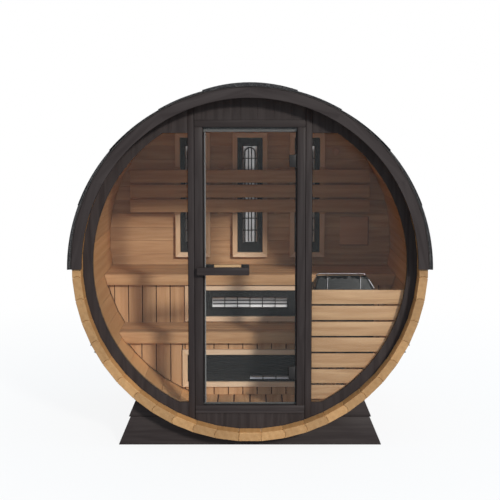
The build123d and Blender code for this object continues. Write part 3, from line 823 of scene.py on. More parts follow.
def same_boards(name, nodes, body, materials, edge=0.0015, segments=1, angle=30):
    """A piece with the very boards of its CAD nodes, but with eased edges."""
    part = new_part()
    for one in solids_of(*nodes):
        put(part, ease(one, edge, segments))
    return piece(name, part, body, materials, nodes, angle)


print("helpers for whole solids are ready")

# %% Cradles
for node in ("cradle_front", "cradle_back"):
    beam = same_boards(node + "_beam", [node], "cabin", stain_x, 0.0025, 2)
    print(beam.name, "has", len(beam.data.polygons), "faces")

# %% [markdown]
# ## Front wall
#
# The wall is made of upright boards with a V-groove at each joint, cut round to the
# barrel on the outside and round to the glass on the inside.  A boolean could cut the
# windows, but each board is simple enough to outline: its lower and upper edge are
# followed in a few points, the face is extruded through the wall, and the front
# arrises are bevelled, which makes the grooves.  Only the outside is stained; a little
# way in, the boards are bare.

# %% Outlines of the wall
PANE_GAP = 0.001
window_low, window_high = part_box("window_right")
rim_radius = window_high.x + PANE_GAP
window_top, window_bottom = window_high.z + PANE_GAP, window_low.z - PANE_GAP
wall_reach = inner_radius - FIT


def round_height(radius, x):
    """How far a circle about the barrel axis reaches above the axis at x."""
    return sqrt(max(0.0, radius ** 2 - x ** 2))


def stave_height(x):
    """How far the inside of the staves reaches above the axis at x."""
    return min((wall_reach - abs(x) * sin(k * STEP)) / cos(k * STEP) for k in range(STAVES // 4))


def outer_top(x):
    return axis_z + stave_height(x)


def outer_bottom(x):
    return axis_z - stave_height(x)


def glass_top(x):
    return min(window_top, axis_z + round_height(rim_radius, x))


def glass_bottom(x):
    return max(window_bottom, axis_z - round_height(rim_radius, x))


print("windows from", round(window_bottom, 3), "to", round(window_top, 3))

# %% Wall boards
WALL_BOARD = 0.096            # width of a board
FIRST_SEAM = -0.056           # where one of the joints lies
GROOVE = 0.0009
wall_edge = wall_reach - 0.0005
post_low, post_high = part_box("post_right")


def wall_board(part, x0, x1, low, high, steps=6, y0=wall_front, y1=wall_inside):
    """One upright board between two curves, low(x) and high(x), given as heights."""
    xs = [x0 + (x1 - x0) * i / steps for i in range(steps + 1)]
    ends = [((x, low(x)), (x, high(x))) for x in xs if high(x) - low(x) > 0.002]
    if len(ends) < 2:
        return
    outline = [bottom for bottom, top in ends] + [top for bottom, top in ends[::-1]]
    put(part, ease(prism(outline, y0, y1), GROOVE, 1, 40))


def notched_board(part, side, a, b, steps=10):
    """The tall board beside a window, hollowed to the round edge of the glass."""
    xs = [a + (b - a) * i / steps for i in range(steps + 1)]
    over = [(side * x, outer_top(x)) for x in xs]
    under = [(side * x, outer_bottom(x)) for x in xs]
    start = Vector((0, 1)).angle(Vector((a, glass_top(a) - axis_z)))
    turns = [start + (pi - 2 * start) * i / 12 for i in range(13)]
    hollow = [(side * rim_radius * sin(t), axis_z + rim_radius * cos(t)) for t in turns]
    put(part, ease(prism(under + over[::-1] + hollow, wall_front, wall_inside), GROOVE, 1, 40))


def seams(start, end, first, pitch):
    """Board edges between two places, on a fixed pitch."""
    k = int((start - first) // pitch) - 1
    places = [start]
    while first + k * pitch < end - 0.012:
        if first + k * pitch > start + 0.012:
            places.append(first + k * pitch)
        k += 1
    return places + [end]


for side, word in ((1, "right"), (-1, "left")):
    part = new_part()
    places = seams(post_high.x + FIT, wall_edge, side * FIRST_SEAM, WALL_BOARD)
    for a, b in zip(places, places[1:]):
        if a < rim_radius < b:
            notched_board(part, side, a, b)
        elif a < rim_radius:
            wall_board(part, side * a, side * b, glass_top, outer_top, 10)
            wall_board(part, side * a, side * b, outer_bottom, glass_bottom, 10)
        else:
            wall_board(part, side * a, side * b, outer_bottom, outer_top, 12)
    piece(f"wall_boards_{word}", part, "cabin", wall_stain, [f"front_wall_{word}"])

for node, low, high in (("front_wall_top", lambda x: frame_high.z + FIT, outer_top),
                        ("front_wall_bottom", outer_bottom, lambda x: frame_low.z - FIT)):
    part = new_part()
    places = seams(frame_low.x, frame_high.x, FIRST_SEAM, WALL_BOARD)
    for a, b in zip(places, places[1:]):
        wall_board(part, a, b, low, high)
    piece(node + "_boards", part, "cabin", wall_stain, [node])
print("wall boards", WALL_BOARD, "wide")

# %% [markdown]
# ## Door posts and door frame
#
# A joint stands open between each post and the door frame, and a dark strip closes it
# further in.  Head, jambs and threshold keep the shapes of their solids, with eased
# edges.  The threshold also has a weather lip: a narrow sloped strip along its foot that
# throws rain clear, so it is a box with its upper edge sawn off on a slope.  Behind the
# glass the door closes against two tall stained strips, grey ones at head and sill, and
# a pale seal on the latch side.

# %% Posts
POST_GAP = 0.0022             # the open joint


def saw(bm, planes):
    """Cut off what lies outside each plane, and close the cut."""
    for point, outward in planes:
        if all((v.co - point).dot(outward) < 1e-6 for v in bm.verts):
            continue
        cut = bmesh.ops.bisect_plane(bm, geom=everything(bm), dist=1e-6, plane_co=point,
                                     plane_no=outward, clear_outer=True)
        rim = [e for e in cut["geom_cut"] if isinstance(e, bmesh.types.BMEdge)]
        if rim:
            bmesh.ops.holes_fill(bm, edges=rim, sides=0)
    return bm


for side, word in ((-1, "left"), (1, "right")):
    part = new_part()
    for one in solids_of(f"post_{word}"):
        edge = (Vector((side * (post_low.x + POST_GAP), 0, 0)), Vector((-side, 0, 0)))
        put(part, ease(saw(one, [edge]), 0.0020, 2))
    piece(f"post_{word}_board", part, "cabin", stain_z, [f"post_{word}"])
strips = new_part()
reach = stave_height(post_low.x + 0.003) - 0.003
for side in (-1, 1):
    near, far = sorted((side * (frame_high.x + 0.0004), side * (post_low.x + 0.0018)))
    put(strips, cube((near, wall_front + 0.010, axis_z - reach),
                     (far, wall_inside - 0.002, axis_z + reach)), 0.5)
piece("post_joint_strips", strips, "cabin", stain_z)
print("the joint strips reach", round(reach, 3), "above and below the axis")

# %% Frame and stops
LIP = 0.006                   # how far the weather lip stands out
LIP_HEIGHT = 0.016
SEAL = 0.005                  # width of the seal


def span(bm, axis):
    """The lowest and the highest place of a mesh along axis 0, 1 or 2."""
    places = [v.co[axis] for v in bm.verts]
    return min(places), max(places)


def tall_and_low(node, edge, segments=1):
    """The boards of a node with eased edges, the upright ones apart from the others."""
    tall, low = new_part(), new_part()
    for one in solids_of(node):
        foot, head = span(one, ALONG_Z)
        put(tall if head - foot > 0.5 else low, ease(one, edge, segments))
    return tall, low


jambs, rails = tall_and_low("door_frame", 0.0015, 2)
lip_face, lip_top = frame_low.y - LIP, frame_low.z + LIP_HEIGHT
lip = cube((frame_low.x + 0.001, lip_face, frame_low.z + 0.0015),
           (frame_high.x - 0.001, frame_low.y - 0.0002, lip_top))
slope = (Vector((0, lip_face, lip_top - 0.005)), Vector((0, -0.62, 0.78)).normalized())
put(rails, ease(saw(lip, [slope]), 0.0008))
piece("door_frame_rails", rails, "cabin", stain_x, ["door_frame"])
piece("door_frame_jambs", jambs, "cabin", stain_z)
strips, head_and_sill = tall_and_low("door_stops", 0.001)
piece("door_stop_strips", strips, "cabin", stain_z, ["door_stops"])
piece("door_head_strip", head_and_sill, "cabin", grey_stop)
stops_low, stops_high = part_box("door_stops")
seal_edge = stops_low.x + 0.0102
seal = new_part()
put(seal, ease(cube((seal_edge, stops_low.y + 0.0005, stops_low.z + 0.012),
                    (seal_edge + SEAL, stops_low.y + 0.006, stops_high.z - 0.029)), 0.0006), 0.5)
piece("door_seal", seal, "cabin", seal_rubber)
print("door frame", round(frame_high.x - frame_low.x, 3), "wide")

# %% [markdown]
# ## Window panes and the glass door
#
# The edges of the panes show as thin dark lines.  So each pane carries two materials: a
# nearly clear one on its two faces, and a darker and duller one all round its edge.  The
# hinges clamp the leaf between plates, and each plate has a pair of screws.

# %% Panes
for node, body in (("window_left", "cabin"), ("window_right", "cabin"), ("door_glass", "door")):
    part = new_part()
    for one in solids_of(node):
        ease(one, 0.0006, 1, 50)
        for f in one.faces:
            f.material_index = 0 if abs(f.normal.y) > 0.9 else 1
        put(part, one)
    piece(node + "_pane", part, body, [pane_with_painted_veil, pane_edge],
          [node])
    print(node, "rides on the", body)

# %% Hinges
CLAMP = 0.069                 # height of a clamp
CLAMP_END = 0.004             # from the end of the clamps' box to the clamp
SCREW_PLACES = (0.016, 0.053)
SCREW = 0.0036                # radius of a screw's head
same_boards("hinge_clamps", ["door_hinge_clamps"], "door", black_coat, 0.0008, 2)
same_boards("hinge_brackets", ["door_hinge_brackets"], "cabin", black_coat, 0.0004)
leaf_low, leaf_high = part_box("door_glass")
clamp_low, clamp_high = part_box("door_hinge_clamps")


def screw(part, at, outward, radius, head=0.0012):
    """A small countersunk head with a round socket."""
    outward = Vector(outward)
    bm = new_part()
    bmesh.ops.create_cone(bm, cap_ends=True, segments=12, radius1=radius, radius2=radius * 0.8,
                          depth=head)
    top = max(bm.faces, key=lambda f: f.calc_center_median().z)
    bmesh.ops.inset_individual(bm, faces=[top], thickness=radius * 0.38, depth=0)
    bmesh.ops.inset_individual(bm, faces=[top], thickness=radius * 0.02, depth=-head * 0.7)
    bmesh.ops.rotate(bm, cent=(0, 0, 0), verts=bm.verts,
                     matrix=outward.to_track_quat("Z", "Y").to_matrix())
    bmesh.ops.translate(bm, vec=Vector(at) + outward * head * 0.3, verts=bm.verts)
    put(part, bm, 0.5)


part = new_part()
clamp_x = (clamp_low.x + leaf_high.x) / 2 - 0.002
for foot in (clamp_low.z + CLAMP_END, clamp_high.z - CLAMP_END - CLAMP):
    for rise in SCREW_PLACES:
        screw(part, (clamp_x, clamp_low.y, foot + rise), (0, -1, 0), SCREW)
        screw(part, (clamp_x, clamp_high.y, foot + rise), (0, 1, 0), SCREW)
piece("hinge_screws", part, "door", black_coat)
print("two hinges, screwed", round(clamp_x, 3), "right of the middle")

# %% [markdown]
# ## Door handles
#
# Outside is a plain bar of stained wood, wider than the hand, on two round standoffs.
# Inside, where metal or dark wood would grow hot, a pale wooden grip sits between two
# dark end blocks.

# %% Handles
BAR = 0.028                   # thickness of the bar outside
GRIP = 0.026                  # thickness of the grip inside
BLOCK = 0.046                 # length of its end blocks
STANDOFF = 0.011              # radius
bar_low, bar_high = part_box("door_handle_outside")
grip_low, grip_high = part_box("door_handle_inside")
handle_z = (bar_low.z + bar_high.z) / 2
part = new_part()
put(part, ease(cube(bar_low, (bar_high.x, bar_low.y + BAR, bar_high.z)), 0.003, 3))
piece("handle_bar_outside", part, "door", stain_x, ["door_handle_outside"])
part = new_part()
for x in (bar_low.x + 0.070, bar_low.x + 0.240):
    for start, end in ((bar_low.y + BAR - 0.001, leaf_low.y - FIT),
                       (leaf_high.y + FIT, grip_low.y + 0.033)):
        round_bar(part, (x, start, handle_z), (x, end, handle_z), STANDOFF, 24, 0.0015)
piece("handle_standoffs", part, "door", black_coat)
part = new_part()
grip_front = grip_high.y - GRIP
for x0, x1 in ((grip_low.x, grip_low.x + BLOCK), (grip_high.x - BLOCK, grip_high.x)):
    put(part, ease(cube((x0, grip_front, grip_low.z), (x1, grip_high.y, grip_high.z)), 0.003, 2))
piece("handle_grip_ends", part, "door", grip_end_wood, ["door_handle_inside"])
part = new_part()
put(part, ease(cube((grip_low.x + BLOCK + 0.0002, grip_front + 0.001, grip_low.z + 0.002),
                    (grip_high.x - BLOCK - 0.0002, grip_high.y - 0.001, grip_high.z - 0.001)),
               0.005, 3))
piece("handle_grip", part, "door", grip_wood)
print("handles at height", round(handle_z, 3))

# %% [markdown]
# ## Back wall
#
# The back wall has two skins: stained upright boards outside, like the front, and
# natural boards lying flat inside.  Both are made of boards sawn to the round.

# %% Back wall skins
LINING = 0.015
LINING_BOARD = 0.0921
seam_height = axis_z + 0.0775            # where one of the joints lies


def inside_planes(gap=0.0005):
    """The 48 planes of the staves' inner faces, brought in by a gap."""
    planes = []
    for k in range(STAVES):
        outward = Vector((sin(k * STEP), 0, cos(k * STEP)))
        planes.append((Vector((0, 0, axis_z)) + outward * (inner_radius - gap), outward))
    return planes


barrel_wall = inside_planes()
part = new_part()
z = seam_height - LINING_BOARD * (1 + (seam_height - axis_z + wall_reach) // LINING_BOARD)
while z < axis_z + wall_reach:
    board = cube((-barrel_radius, back_low.y, z + FIT),
                 (barrel_radius, back_low.y + LINING, z + LINING_BOARD - FIT))
    put(part, ease(saw(board, barrel_wall), 0.0016))
    z += LINING_BOARD
piece("back_lining", part, "cabin", boards_x, ["back_wall"])
part = new_part()
places = seams(-wall_edge, wall_edge, FIRST_SEAM, WALL_BOARD)
for a, b in zip(places, places[1:]):
    wall_board(part, a, b, outer_bottom, outer_top, 12, back_low.y + LINING + 0.0005, back_high.y)
piece("back_boards", part, "cabin", stain_z)
print("back wall", len(places) - 1, "boards across")

# %% [markdown]
# ## Floor and benches
#
# Floor boards, seats, aprons, bearers and battens are straight boards whose solids are
# right, so they only get eased edges and grain.  The floor boards are also sawn a little
# narrower, which opens their joints.  The space below would show through the open
# joints, so dark strips of painted shade close those of the floor and three of the top
# bench.  The fronts under the benches are upright boards again, also with dark strips of
# painted shade behind their joints.

# %% Floor and seats
PLANK_GAP = 0.0022            # sawn off both sides of a floor board
part = new_part()
for one in solids_of("floor_boards"):
    left, right = span(one, ALONG_X)
    sides = [(Vector((left + PLANK_GAP, 0, 0)), Vector((-1, 0, 0))),
             (Vector((right - PLANK_GAP, 0, 0)), Vector((1, 0, 0)))]
    put(part, ease(saw(one, sides), 0.002, 2))
piece("floor_planks", part, "cabin", boards_y, ["floor_boards"])
for name, node, grained, edge, segments in (
        ("floor_bearers", "floor_joists", boards_x, 0.001, 1),
        ("upper_seat", "upper_bench", boards_x, 0.003, 2),
        ("lower_seat", "lower_bench", boards_x, 0.003, 2),
        ("seat_bearers", "bench_bearers", boards_y, 0.001, 1),
        ("backrest_rails", "backrest", boards_x, 0.002, 2),
        ("backrest_uprights", "backrest_battens", boards_z, 0.001, 1)):
    same_boards(name, [node], "cabin", grained, edge, segments)
print("floor top", round(floor_top, 3))

# %% Painted shade in the joints
shade_strips = new_part()
planks = sorted(span(one, ALONG_X) for one in solids_of("floor_boards"))
floor_low, floor_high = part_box("floor_boards")
for plank, after in zip(planks, planks[1:]):
    put(shade_strips, cube((plank[1] - 0.004, floor_low.y + 0.001, floor_top - 0.013),
                      (after[0] + 0.004, floor_high.y - 0.001, floor_top - 0.010)))
seat_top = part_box("upper_bench")[1].z
rows = sorted(span(one, ALONG_Y) for one in solids_of("upper_bench"))
rows = [row for row in rows if row[1] - row[0] > 0.029]      # the apron is thinner
for k in (1, 3, 4):
    if k + 1 < len(rows):
        strip = cube((-inner_radius, rows[k][1] + 0.0004, seat_top - 0.016),
                     (inner_radius, rows[k + 1][0] - 0.0004, seat_top - 0.006))
        put(shade_strips, saw(strip, inside_planes(0.006)))
piece("joint_painted_shade", shade_strips, "cabin", shadow_strip_wood)
print("planks in the floor:", len(planks))

# %% Bench fronts
RISER_BOARD = 0.0897
RISER_GAP = 0.0029            # half an open joint
SHADE_STRIP = 0.007                # half the width of a tongue
riser_planes = inside_planes(0.0065)


def bench_front(name, node, first):
    """Upright boards under a bench, in the places of the riser's solids."""
    part, shade_strips = new_part(), new_part()
    for one in solids_of(node):
        low, high = (Vector(corner) for corner in zip(*(span(one, axis) for axis in range(3))))
        one.free()
        places = seams(low.x, high.x, first, RISER_BOARD)
        for a, b in zip(places, places[1:]):
            board = cube((a + RISER_GAP, low.y, low.z), (b - RISER_GAP, high.y, high.z))
            put(part, ease(saw(board, riser_planes), 0.0016))
        # dark strips behind the open joints: painted shade of the hollow under the bench
        for x in places[1:-1]:
            shade_strip = cube((x - SHADE_STRIP, low.y + 0.006, low.z + 0.001),
                          (x + SHADE_STRIP, low.y + 0.009, high.z - 0.001))
            put(shade_strips, saw(shade_strip, riser_planes))
    piece(name + "_painted_shade", shade_strips, "cabin", shadow_strip_wood)
    return piece(name, part, "cabin", boards_z, [node])


for fronted, first in (("upper", 0.4713), ("lower", 0.0449)):
    front = bench_front(f"{fronted}_bench_front", f"{fronted}_riser", first)
    print(front.name, "has", len(front.data.polygons), "faces")

# %% [markdown]
# ## Infrared emitters
#
# Each emitter is a mitred frame of pale wood round a slate-coloured panel.  In the
# panel is a polished trough with two heating rods, and a black wire guard stands before
# it.  The emitter is built standing, centred on nothing, and then turned and moved to
# each place; the two in the bench fronts lie on their side.  The lower of these is of
# another make: its panel is ribbed, and its reflector is narrow and duller, with one
# thin rod.  That reflector lies low and to the right of the middle, just where the lamp's
# light falls on the emitter, so its bright strip is a painted patch of light.

# %% Emitter sizes
BORDER = 0.032                # width of the wooden frame
RECESS = 0.022                # how far back the panel lies
BAY = 0.081                   # between two cross wires of the guard
GUARD_DEPTH = 0.009           # how far behind the frame's face the guard runs
CROWN = 0.009                 # how far below the reflector's head the guard's arch ends
MITRE = 0.70711               # the cosine of 45 degrees
ROUND = [pi * i / 12 for i in range(13)]     # angles round half a circle
standing = dict(at_x=0.0, at_z=0.006, half_slot=0.049, half_run=BAY * 4, rods=(-0.010, 0.010),
                rod=0.0042, arm=0.034, arm_wire=0.0040)
resting = dict(standing, at_x=-0.006, at_z=0.0, half_slot=0.0335, half_run=BAY * 3, arm=0.0355)
# the lower emitter's reflector lies only where the lamp's light falls on it: a painted patch of light
lit_patch = dict(at_x=0.061, at_z=BAY * 1.5, half_slot=0.0125, half_run=BAY * 1.5, rods=(-0.009,),
            rod=0.0026, arm=0.0180, arm_wire=0.0024)


def wire(part, points, radius, sides=8):
    """A bent wire: short round bars from point to point."""
    for a, b in zip(points, points[1:]):
        round_bar(part, a, b, radius, sides)


print("a standing reflector is", round(2 * standing["half_run"], 3), "long")

# %% Emitter frame, panel and reflector


def emitter_frame(place, half_w, half_h, depth):
    """Two stiles and two rails, mitred where they meet."""
    stiles, rails = new_part(), new_part()
    in_w, in_h = half_w - BORDER, half_h - BORDER
    for s in (-1, 1):
        near, far = sorted((s * in_w, s * half_w))
        cuts = [(Vector((s * in_w, 0, t * in_h)), Vector((-s * MITRE, 0, t * MITRE)))
                for t in (-1, 1)]
        stile = cube((near, 0, -half_h), (far, depth, half_h))
        put(stiles, place(ease(saw(stile, cuts), 0.0012)))
        near, far = sorted((s * in_h, s * half_h))
        cuts = [(Vector((t * in_w, 0, s * in_h)), Vector((t * MITRE, 0, -s * MITRE)))
                for t in (-1, 1)]
        rail = cube((-half_w, 0, near), (half_w, depth, far))
        put(rails, place(ease(saw(rail, cuts), 0.0012)))
    return stiles, rails


def emitter_panel(place, wide, high, depth, left, right, foot, head):
    """Four plates round the slot for the reflector."""
    panel = new_part()
    for x0, x1, z0, z1 in ((-wide, left, -high, high), (right, wide, -high, high),
                           (left, right, -high, foot), (left, right, head, high)):
        put(panel, place(cube((x0, RECESS, z0), (x1, depth - 0.002, z1))))
    return panel


def emitter_ribs(place, in_w, in_h):
    """Seven ribs side by side on the panel."""
    ribs = new_part()
    for k in range(7):
        x = -in_w + 0.014 + 0.017 * k
        rib = cube((x, RECESS - 0.005, -in_h + 0.04), (x + 0.005, RECESS + 0.001, in_h - 0.04))
        put(ribs, place(ease(rib, 0.0015)))
    return ribs


def emitter_trough(place, at_x, half_slot, foot, head):
    """A shallow curved sheet: half an oval, drawn up from the foot to the head."""
    dish = new_part()
    ring = [dish.verts.new((at_x + half_slot * cos(t), RECESS + 0.002 + 0.006 * sin(t), foot))
            for t in ROUND]
    for a, b in zip(ring, ring[1:]):
        dish.edges.new((a, b))
    out = bmesh.ops.extrude_edge_only(dish, edges=dish.edges[:])
    moved = [v for v in out["geom"] if isinstance(v, bmesh.types.BMVert)]
    bmesh.ops.translate(dish, vec=(0, 0, head - foot), verts=moved)
    bmesh.ops.recalc_face_normals(dish, faces=dish.faces)
    bmesh.ops.solidify(dish, geom=dish.faces[:], thickness=0.0008)
    bright = new_part()
    put(bright, place(dish))
    return bright


print("the panel lies", RECESS, "behind the face of the frame")

# %% Emitter guard


def emitter_guard(place, at_x, half_slot, half_run, foot, head, arm, arm_wire, arched):
    """Two long wires joined at the head, by an arch or straight, and cross wires on stubs."""
    crown = head - CROWN if arched else head
    spring = crown - arm if arched else crown
    loop = [(at_x - arm, GUARD_DEPTH, foot), (at_x - arm, GUARD_DEPTH, spring)]
    if arched:
        loop += [(at_x - arm * cos(t), GUARD_DEPTH, spring + arm * sin(t)) for t in ROUND[1:-1]]
    loop += [(at_x + arm, GUARD_DEPTH, spring), (at_x + arm, GUARD_DEPTH, foot)]
    cage = new_part()
    wire(cage, loop, arm_wire)
    reach = half_slot + 0.006
    for i in range(1, int(2 * half_run / BAY + 0.5)):
        z = foot + BAY * i
        wire(cage, [(at_x - reach, GUARD_DEPTH, z), (at_x + reach, GUARD_DEPTH, z)], 0.0027)
        for x in (at_x - reach, at_x + reach):
            wire(cage, [(x, 0.0075, z), (x, RECESS + 0.002, z)], 0.0027)
    guard = new_part()
    put(guard, place(cage))
    return guard


print("an arch has", len(ROUND) - 2, "points between its feet")

# %% Emitters


def emitter(name, low, high, lying=False, ribbed=False):
    """Frame, panel, trough, rods and guard between two corners, its face at low.y."""
    middle = (Vector(low) + Vector(high)) / 2
    depth = high.y - low.y
    half_w, half_h = (high.x - low.x) / 2, (high.z - low.z) / 2
    if lying:
        half_w, half_h = half_h, half_w
    in_w, in_h = half_w - BORDER, half_h - BORDER
    kind = lit_patch if ribbed else resting if lying else standing
    at_x, at_z, half_slot, half_run = (kind[k] for k in ("at_x", "at_z", "half_slot", "half_run"))
    foot, head = at_z - half_run, at_z + half_run

    def place(bm):
        turn = Matrix.Rotation(radians(90), 3, "Y") if lying else Matrix.Identity(3)
        bmesh.ops.rotate(bm, cent=(0, 0, 0), matrix=turn, verts=bm.verts)
        bmesh.ops.translate(bm, vec=(middle.x, low.y, middle.z), verts=bm.verts)
        return bm

    def add(word, part, material, stands_for=()):
        piece(f"emitter_{name}_{word}", part, "cabin", material, stands_for)

    stiles, rails = emitter_frame(place, half_w, half_h, depth)
    node = ("bench_emitter_" if lying else "wall_emitter_") + name
    add("stiles", stiles, pale_x if lying else pale_z, [node])
    add("rails", rails, pale_z if lying else pale_x)
    panel = emitter_panel(place, in_w - 0.0004, in_h - 0.0004, depth, at_x - half_slot,
                          at_x + half_slot, foot, head)
    add("panel", panel, slate_coat)
    if ribbed:
        add("ribs", emitter_ribs(place, in_w, in_h), hood_coat)
    add("trough", emitter_trough(place, at_x, half_slot, foot, head),
        dull_mirror if ribbed else mirror)
    rods = new_part()
    for x in kind["rods"]:
        rod = new_part()
        round_bar(rod, (at_x + x, RECESS - 0.001, foot + 0.004),
                  (at_x + x, RECESS - 0.001, head - 0.004), kind["rod"], 16)
        put(rods, place(rod))
    add("rods", rods, tube_glass)
    guard = emitter_guard(place, at_x, half_slot, half_run, foot, head, kind["arm"],
                          kind["arm_wire"], not lying)
    add("guard", guard, black_coat)


for word in ("left", "middle", "right"):
    emitter(word, *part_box(f"wall_emitter_{word}"))
for word in ("upper", "lower"):
    emitter(word, *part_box(f"bench_emitter_{word}"), lying=True, ribbed=word == "lower")
print("emitters: 5")

# %% [markdown]
# ## Vent, sensor, heater and its guard
#
# The vent is closed by a sliding wooden cover, with a dark strip along its foot and its
# right side that is painted shadow of the cover.  The temperature sensor is a small
# turned cap.  The heater stands behind a slatted guard: a slate-coated casing with a
# sloped hood full of stones, and a polished rail bent round it.

# %% Vent and sensor
VENT_SHADOW = 0.004
vent_low, vent_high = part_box("vent_slide")
part = new_part()
put(part, ease(cube(vent_low, vent_high), 0.0025, 2))
piece("vent_cover", part, "cabin", vent_wood, ["vent_slide"])
# a dark strip along the cover's foot and right side: its painted shadow
part = new_part()
put(part, cube((vent_low.x, vent_low.y + 0.012, vent_low.z - VENT_SHADOW),
               (vent_high.x + VENT_SHADOW, vent_high.y, vent_low.z - FIT)))
put(part, cube((vent_high.x + FIT, vent_low.y + 0.012, vent_low.z),
               (vent_high.x + VENT_SHADOW, vent_high.y, vent_high.z)))
piece("vent_painted_shadow", part, "cabin", shadow_strip_wood)
sensor_low, sensor_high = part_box("sensor")
centre = (sensor_low + sensor_high) / 2
part = new_part()
for start, end, radius in ((sensor_high.y, sensor_low.y + 0.006, 0.028),
                           (sensor_low.y + 0.008, sensor_low.y, 0.020)):
    round_bar(part, (centre.x, start, centre.z), (centre.x, end, centre.z), radius, 40, 0.002)
for k in range(-2, 3):
    z = centre.z + k * 0.0055
    put(part, cube((centre.x - 0.012, sensor_low.y - 0.0004, z - 0.001),
                   (centre.x + 0.012, sensor_low.y + 0.001, z + 0.001)))
piece("sensor_cap", part, "cabin", sensor_wood, ["sensor"])
print("vent at", round(vent_low.x, 3), "sensor at", round(centre.x, 3))

# %% Heater casing
heater_low, heater_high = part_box("heater")
guard_low, guard_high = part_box("heater_guard")
casing_top, hood_top = guard_high.z, heater_high.z
mouth_left, mouth_right = heater_low.x + 0.022, heater_high.x - 0.036
mouth_front, mouth_back = heater_low.y + 0.018, heater_low.y + 0.168


def hood(part, low, high):
    """Four sloped walls between two rectangles (x0, x1, y0, y1, z), open above and below."""
    bm = new_part()
    rows = []
    for x0, x1, y0, y1, z in (low, high):
        rows.append([bm.verts.new((x, y, z)) for x, y in ((x0, y0), (x1, y0), (x1, y1), (x0, y1))])
    for k in range(4):
        bm.faces.new((rows[0][k], rows[0][(k + 1) % 4], rows[1][(k + 1) % 4], rows[1][k]))
    bmesh.ops.recalc_face_normals(bm, faces=bm.faces)
    upright = [e for e in bm.edges if len(e.link_faces) == 2]
    bmesh.ops.bevel(bm, geom=upright, offset=0.010, offset_type="OFFSET", segments=4,
                    profile=0.5, affect="EDGES", material=-1)
    bmesh.ops.solidify(bm, geom=bm.faces[:], thickness=0.0025)
    put(part, bm)


part = new_part()
put(part, ease(cube(heater_low, (heater_high.x, heater_high.y, casing_top)), 0.004, 2))
hood(part, (heater_low.x + 0.006, heater_high.x - 0.006, heater_low.y + 0.002,
            heater_high.y - 0.006, casing_top - 0.001),
     (mouth_left, mouth_right, mouth_front, mouth_back, hood_top))
piece("heater_casing", part, "cabin", hood_coat, ["heater"])
print("heater casing up to", round(casing_top, 3))

# %% Heater stones
part = new_part()
stone_rng = random.Random(7)
for layer in range(2):
    for i in range(7):
        for j in range(4 - layer):
            size = stone_rng.uniform(0.017, 0.025)
            x = heater_low.x + 0.052 + i * 0.039 + stone_rng.uniform(-0.007, 0.007)
            y = mouth_front + 0.022 + j * 0.038 + stone_rng.uniform(-0.007, 0.007)
            z = casing_top + 0.018 + layer * 0.020 + stone_rng.uniform(-0.003, 0.003)
            rock = new_part()
            bmesh.ops.create_icosphere(rock, subdivisions=1, radius=size)
            for v in rock.verts:
                v.co *= stone_rng.uniform(0.80, 1.12)
            flatten = (1.0, stone_rng.uniform(0.7, 1.1), stone_rng.uniform(0.6, 0.9))
            bmesh.ops.scale(rock, vec=flatten, verts=rock.verts)
            spin_by = Matrix.Rotation(stone_rng.uniform(0, pi), 3, "Z")
            bmesh.ops.rotate(rock, cent=(0, 0, 0), matrix=spin_by, verts=rock.verts)
            bmesh.ops.translate(rock, vec=(x, y, z), verts=rock.verts)
            put(part, rock)
stones = piece("heater_stones", part, "cabin", stone, angle=180)
print("faces on the stones:", len(stones.data.polygons))

# %% Heater rail and guard
rail_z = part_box("heater_rails")[1].z - 0.004
rail_y = mouth_back - 0.010
part = new_part()
wire(part, [(heater_low.x + 0.008, heater_low.y + 0.030, casing_top + 0.004),
            (mouth_left + 0.004, rail_y, rail_z - 0.008), (mouth_left + 0.014, rail_y, rail_z),
            (mouth_right - 0.012, rail_y, rail_z), (mouth_right - 0.002, rail_y, rail_z - 0.008),
            (mouth_right + 0.006, mouth_front + 0.004, hood_top - 0.004),
            (heater_high.x - 0.001, heater_low.y + 0.004, casing_top + 0.004)], 0.0038, 12)
for x in (heater_low.x + 0.080, heater_low.x + 0.271):
    wire(part, [(x, heater_low.y - 0.0005, casing_top - 0.03),
                (x, heater_low.y + 0.006, rail_z - 0.004),
                (x, heater_low.y + 0.014, rail_z), (x, rail_y, rail_z)], 0.0032, 12)
piece("heater_rail", part, "cabin", steel, ["heater_rails"])
slats, battens = new_part(), new_part()
for one in solids_of("heater_guard"):
    foot, head = span(one, ALONG_Z)
    height = sum(v.co.z for v in one.verts) / len(one.verts)
    share = (height - guard_low.z) / (guard_high.z - guard_low.z)
    # the board number grows with height, so the slats are painted lighter towards the top: painted
    # light from the lamp above
    put(battens if head - foot > 0.2 else slats, ease(one, 0.0025, 2), 0.1 + 0.9 * share)
piece("guard_slats", slats, "cabin", boards_x, ["heater_guard"])
piece("guard_battens", battens, "cabin", stain_z)
print("heater from", round(heater_low.z, 3), "to", round(rail_z, 3))

# %% [markdown]
# ## Floor, light and camera
#
# The sauna stands on a flat pale floor, and the world round it is white to the camera,
# so the ground reads as a clean page.  Most of the floor's white is its own glow, but a
# share of it still takes the lamps' light, which keeps a soft shadow under the cradles.
# As sources of light both are dimmer: the world is a cool sky, brighter overhead and
# towards one side, and the floor throws back less light than it shows.  A warm key lamp
# shines from the front right.

# %% Studio floor
WHITE = (1.0, 1.0, 1.0, 1.0)
GLOW = 0.88                   # share of the floor's white that is its own, near the sauna


def seen(n):
    """1 for a ray from the camera, off a gloss or through a pane, and 0 for any other."""
    path = n.add("ShaderNodeLightPath").outputs
    sharp = n.math("MAXIMUM", path["Is Camera Ray"], path["Is Glossy Ray"])
    return n.math("MAXIMUM", sharp, path["Is Transmission Ray"])


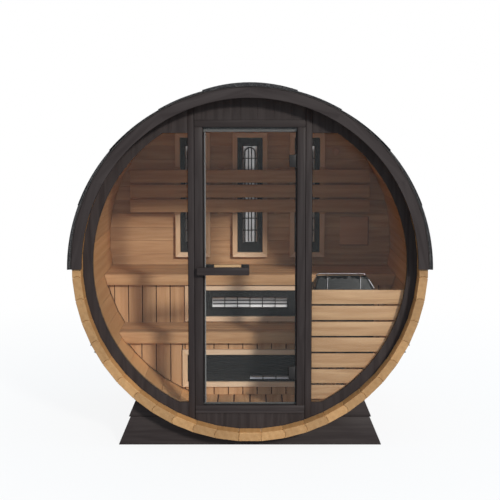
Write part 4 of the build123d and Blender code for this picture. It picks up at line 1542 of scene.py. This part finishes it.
n = Nodes("studio_white")
shown = n.add("ShaderNodeLightPath").outputs["Is Camera Ray"]
n.finish(Base_Color=n.blend(shown, (0.30, 0.30, 0.30, 1.0), (0.86, 0.86, 0.86, 1.0)), Roughness=0.9)
away = n.add("ShaderNodeVectorMath", {"operation": "LENGTH"})
n.feed(away.inputs[0], n.place())
own = n.spread(away.outputs["Value"], 1.6, 5.0, GLOW, 1.0)
glow = n.add("ShaderNodeEmission", Color=WHITE, Strength=1.0)
mix = n.add("ShaderNodeMixShader")
n.feed(mix.inputs[0], n.times(seen(n), own))
n.feed(mix.inputs[1], n.shader.outputs[0])
n.feed(mix.inputs[2], glow.outputs[0])
n.feed(n.tree.nodes["Material Output"].inputs["Surface"], mix.outputs[0])

bm = bmesh.new()
bmesh.ops.create_grid(bm, x_segments=1, y_segments=1, size=14.0)
mesh = bpy.data.meshes.new("studio_floor")
bm.to_mesh(mesh)
bm.free()
mesh.materials.append(n.owner)
floor = bpy.data.objects.new("studio_floor", mesh)
bpy.context.scene.collection.objects.link(floor)
print("floor", round(floor.dimensions.x), "by", round(floor.dimensions.y))

# %% Sky and key lamp
world = bpy.data.worlds.new("studio")
bpy.context.scene.world = world
n = Nodes("studio", world)
towards = n.add("ShaderNodeSeparateXYZ", Vector=n.add("ShaderNodeTexCoord").outputs["Generated"])
sky = n.times(n.spread(towards.outputs["Z"], 0.0, 0.6, 0.35, 0.85),
              n.spread(towards.outputs["X"], -0.8, 0.8, 0.70, 1.12))
direct = seen(n)
n.finish(Color=n.blend(direct, (0.77, 0.99, 1.20, 1.0), WHITE),
         Strength=n.spread(direct, 0.0, 1.0, sky, 1.0))

sun = bpy.data.lights.new("key", "SUN")
sun.energy = 2.26
sun.color = (1.0, 0.96, 0.90)
sun.angle = radians(6.5)
key = bpy.data.objects.new("key", sun)
towards_lamp = Vector((0.43, -1.0, 0.44))
key.rotation_euler = (-towards_lamp).to_track_quat("-Z", "Y").to_euler()
bpy.context.scene.collection.objects.link(key)
print("key lamp towards", tuple(round(c, 2) for c in towards_lamp))

# %% Camera
camera = bpy.data.cameras.new("camera")
camera.sensor_width = 36.0
camera.lens = 93.07
viewer = bpy.data.objects.new("camera", camera)
viewer.location = (0, -8.05, 1.9715)
viewer.rotation_euler = (radians(90 - 6.47), 0, 0)
bpy.context.scene.collection.objects.link(viewer)
bpy.context.scene.camera = viewer
bpy.context.scene.view_settings.view_transform = "Standard"
print("camera", round(-viewer.location.y, 2), "before the barrel's middle")
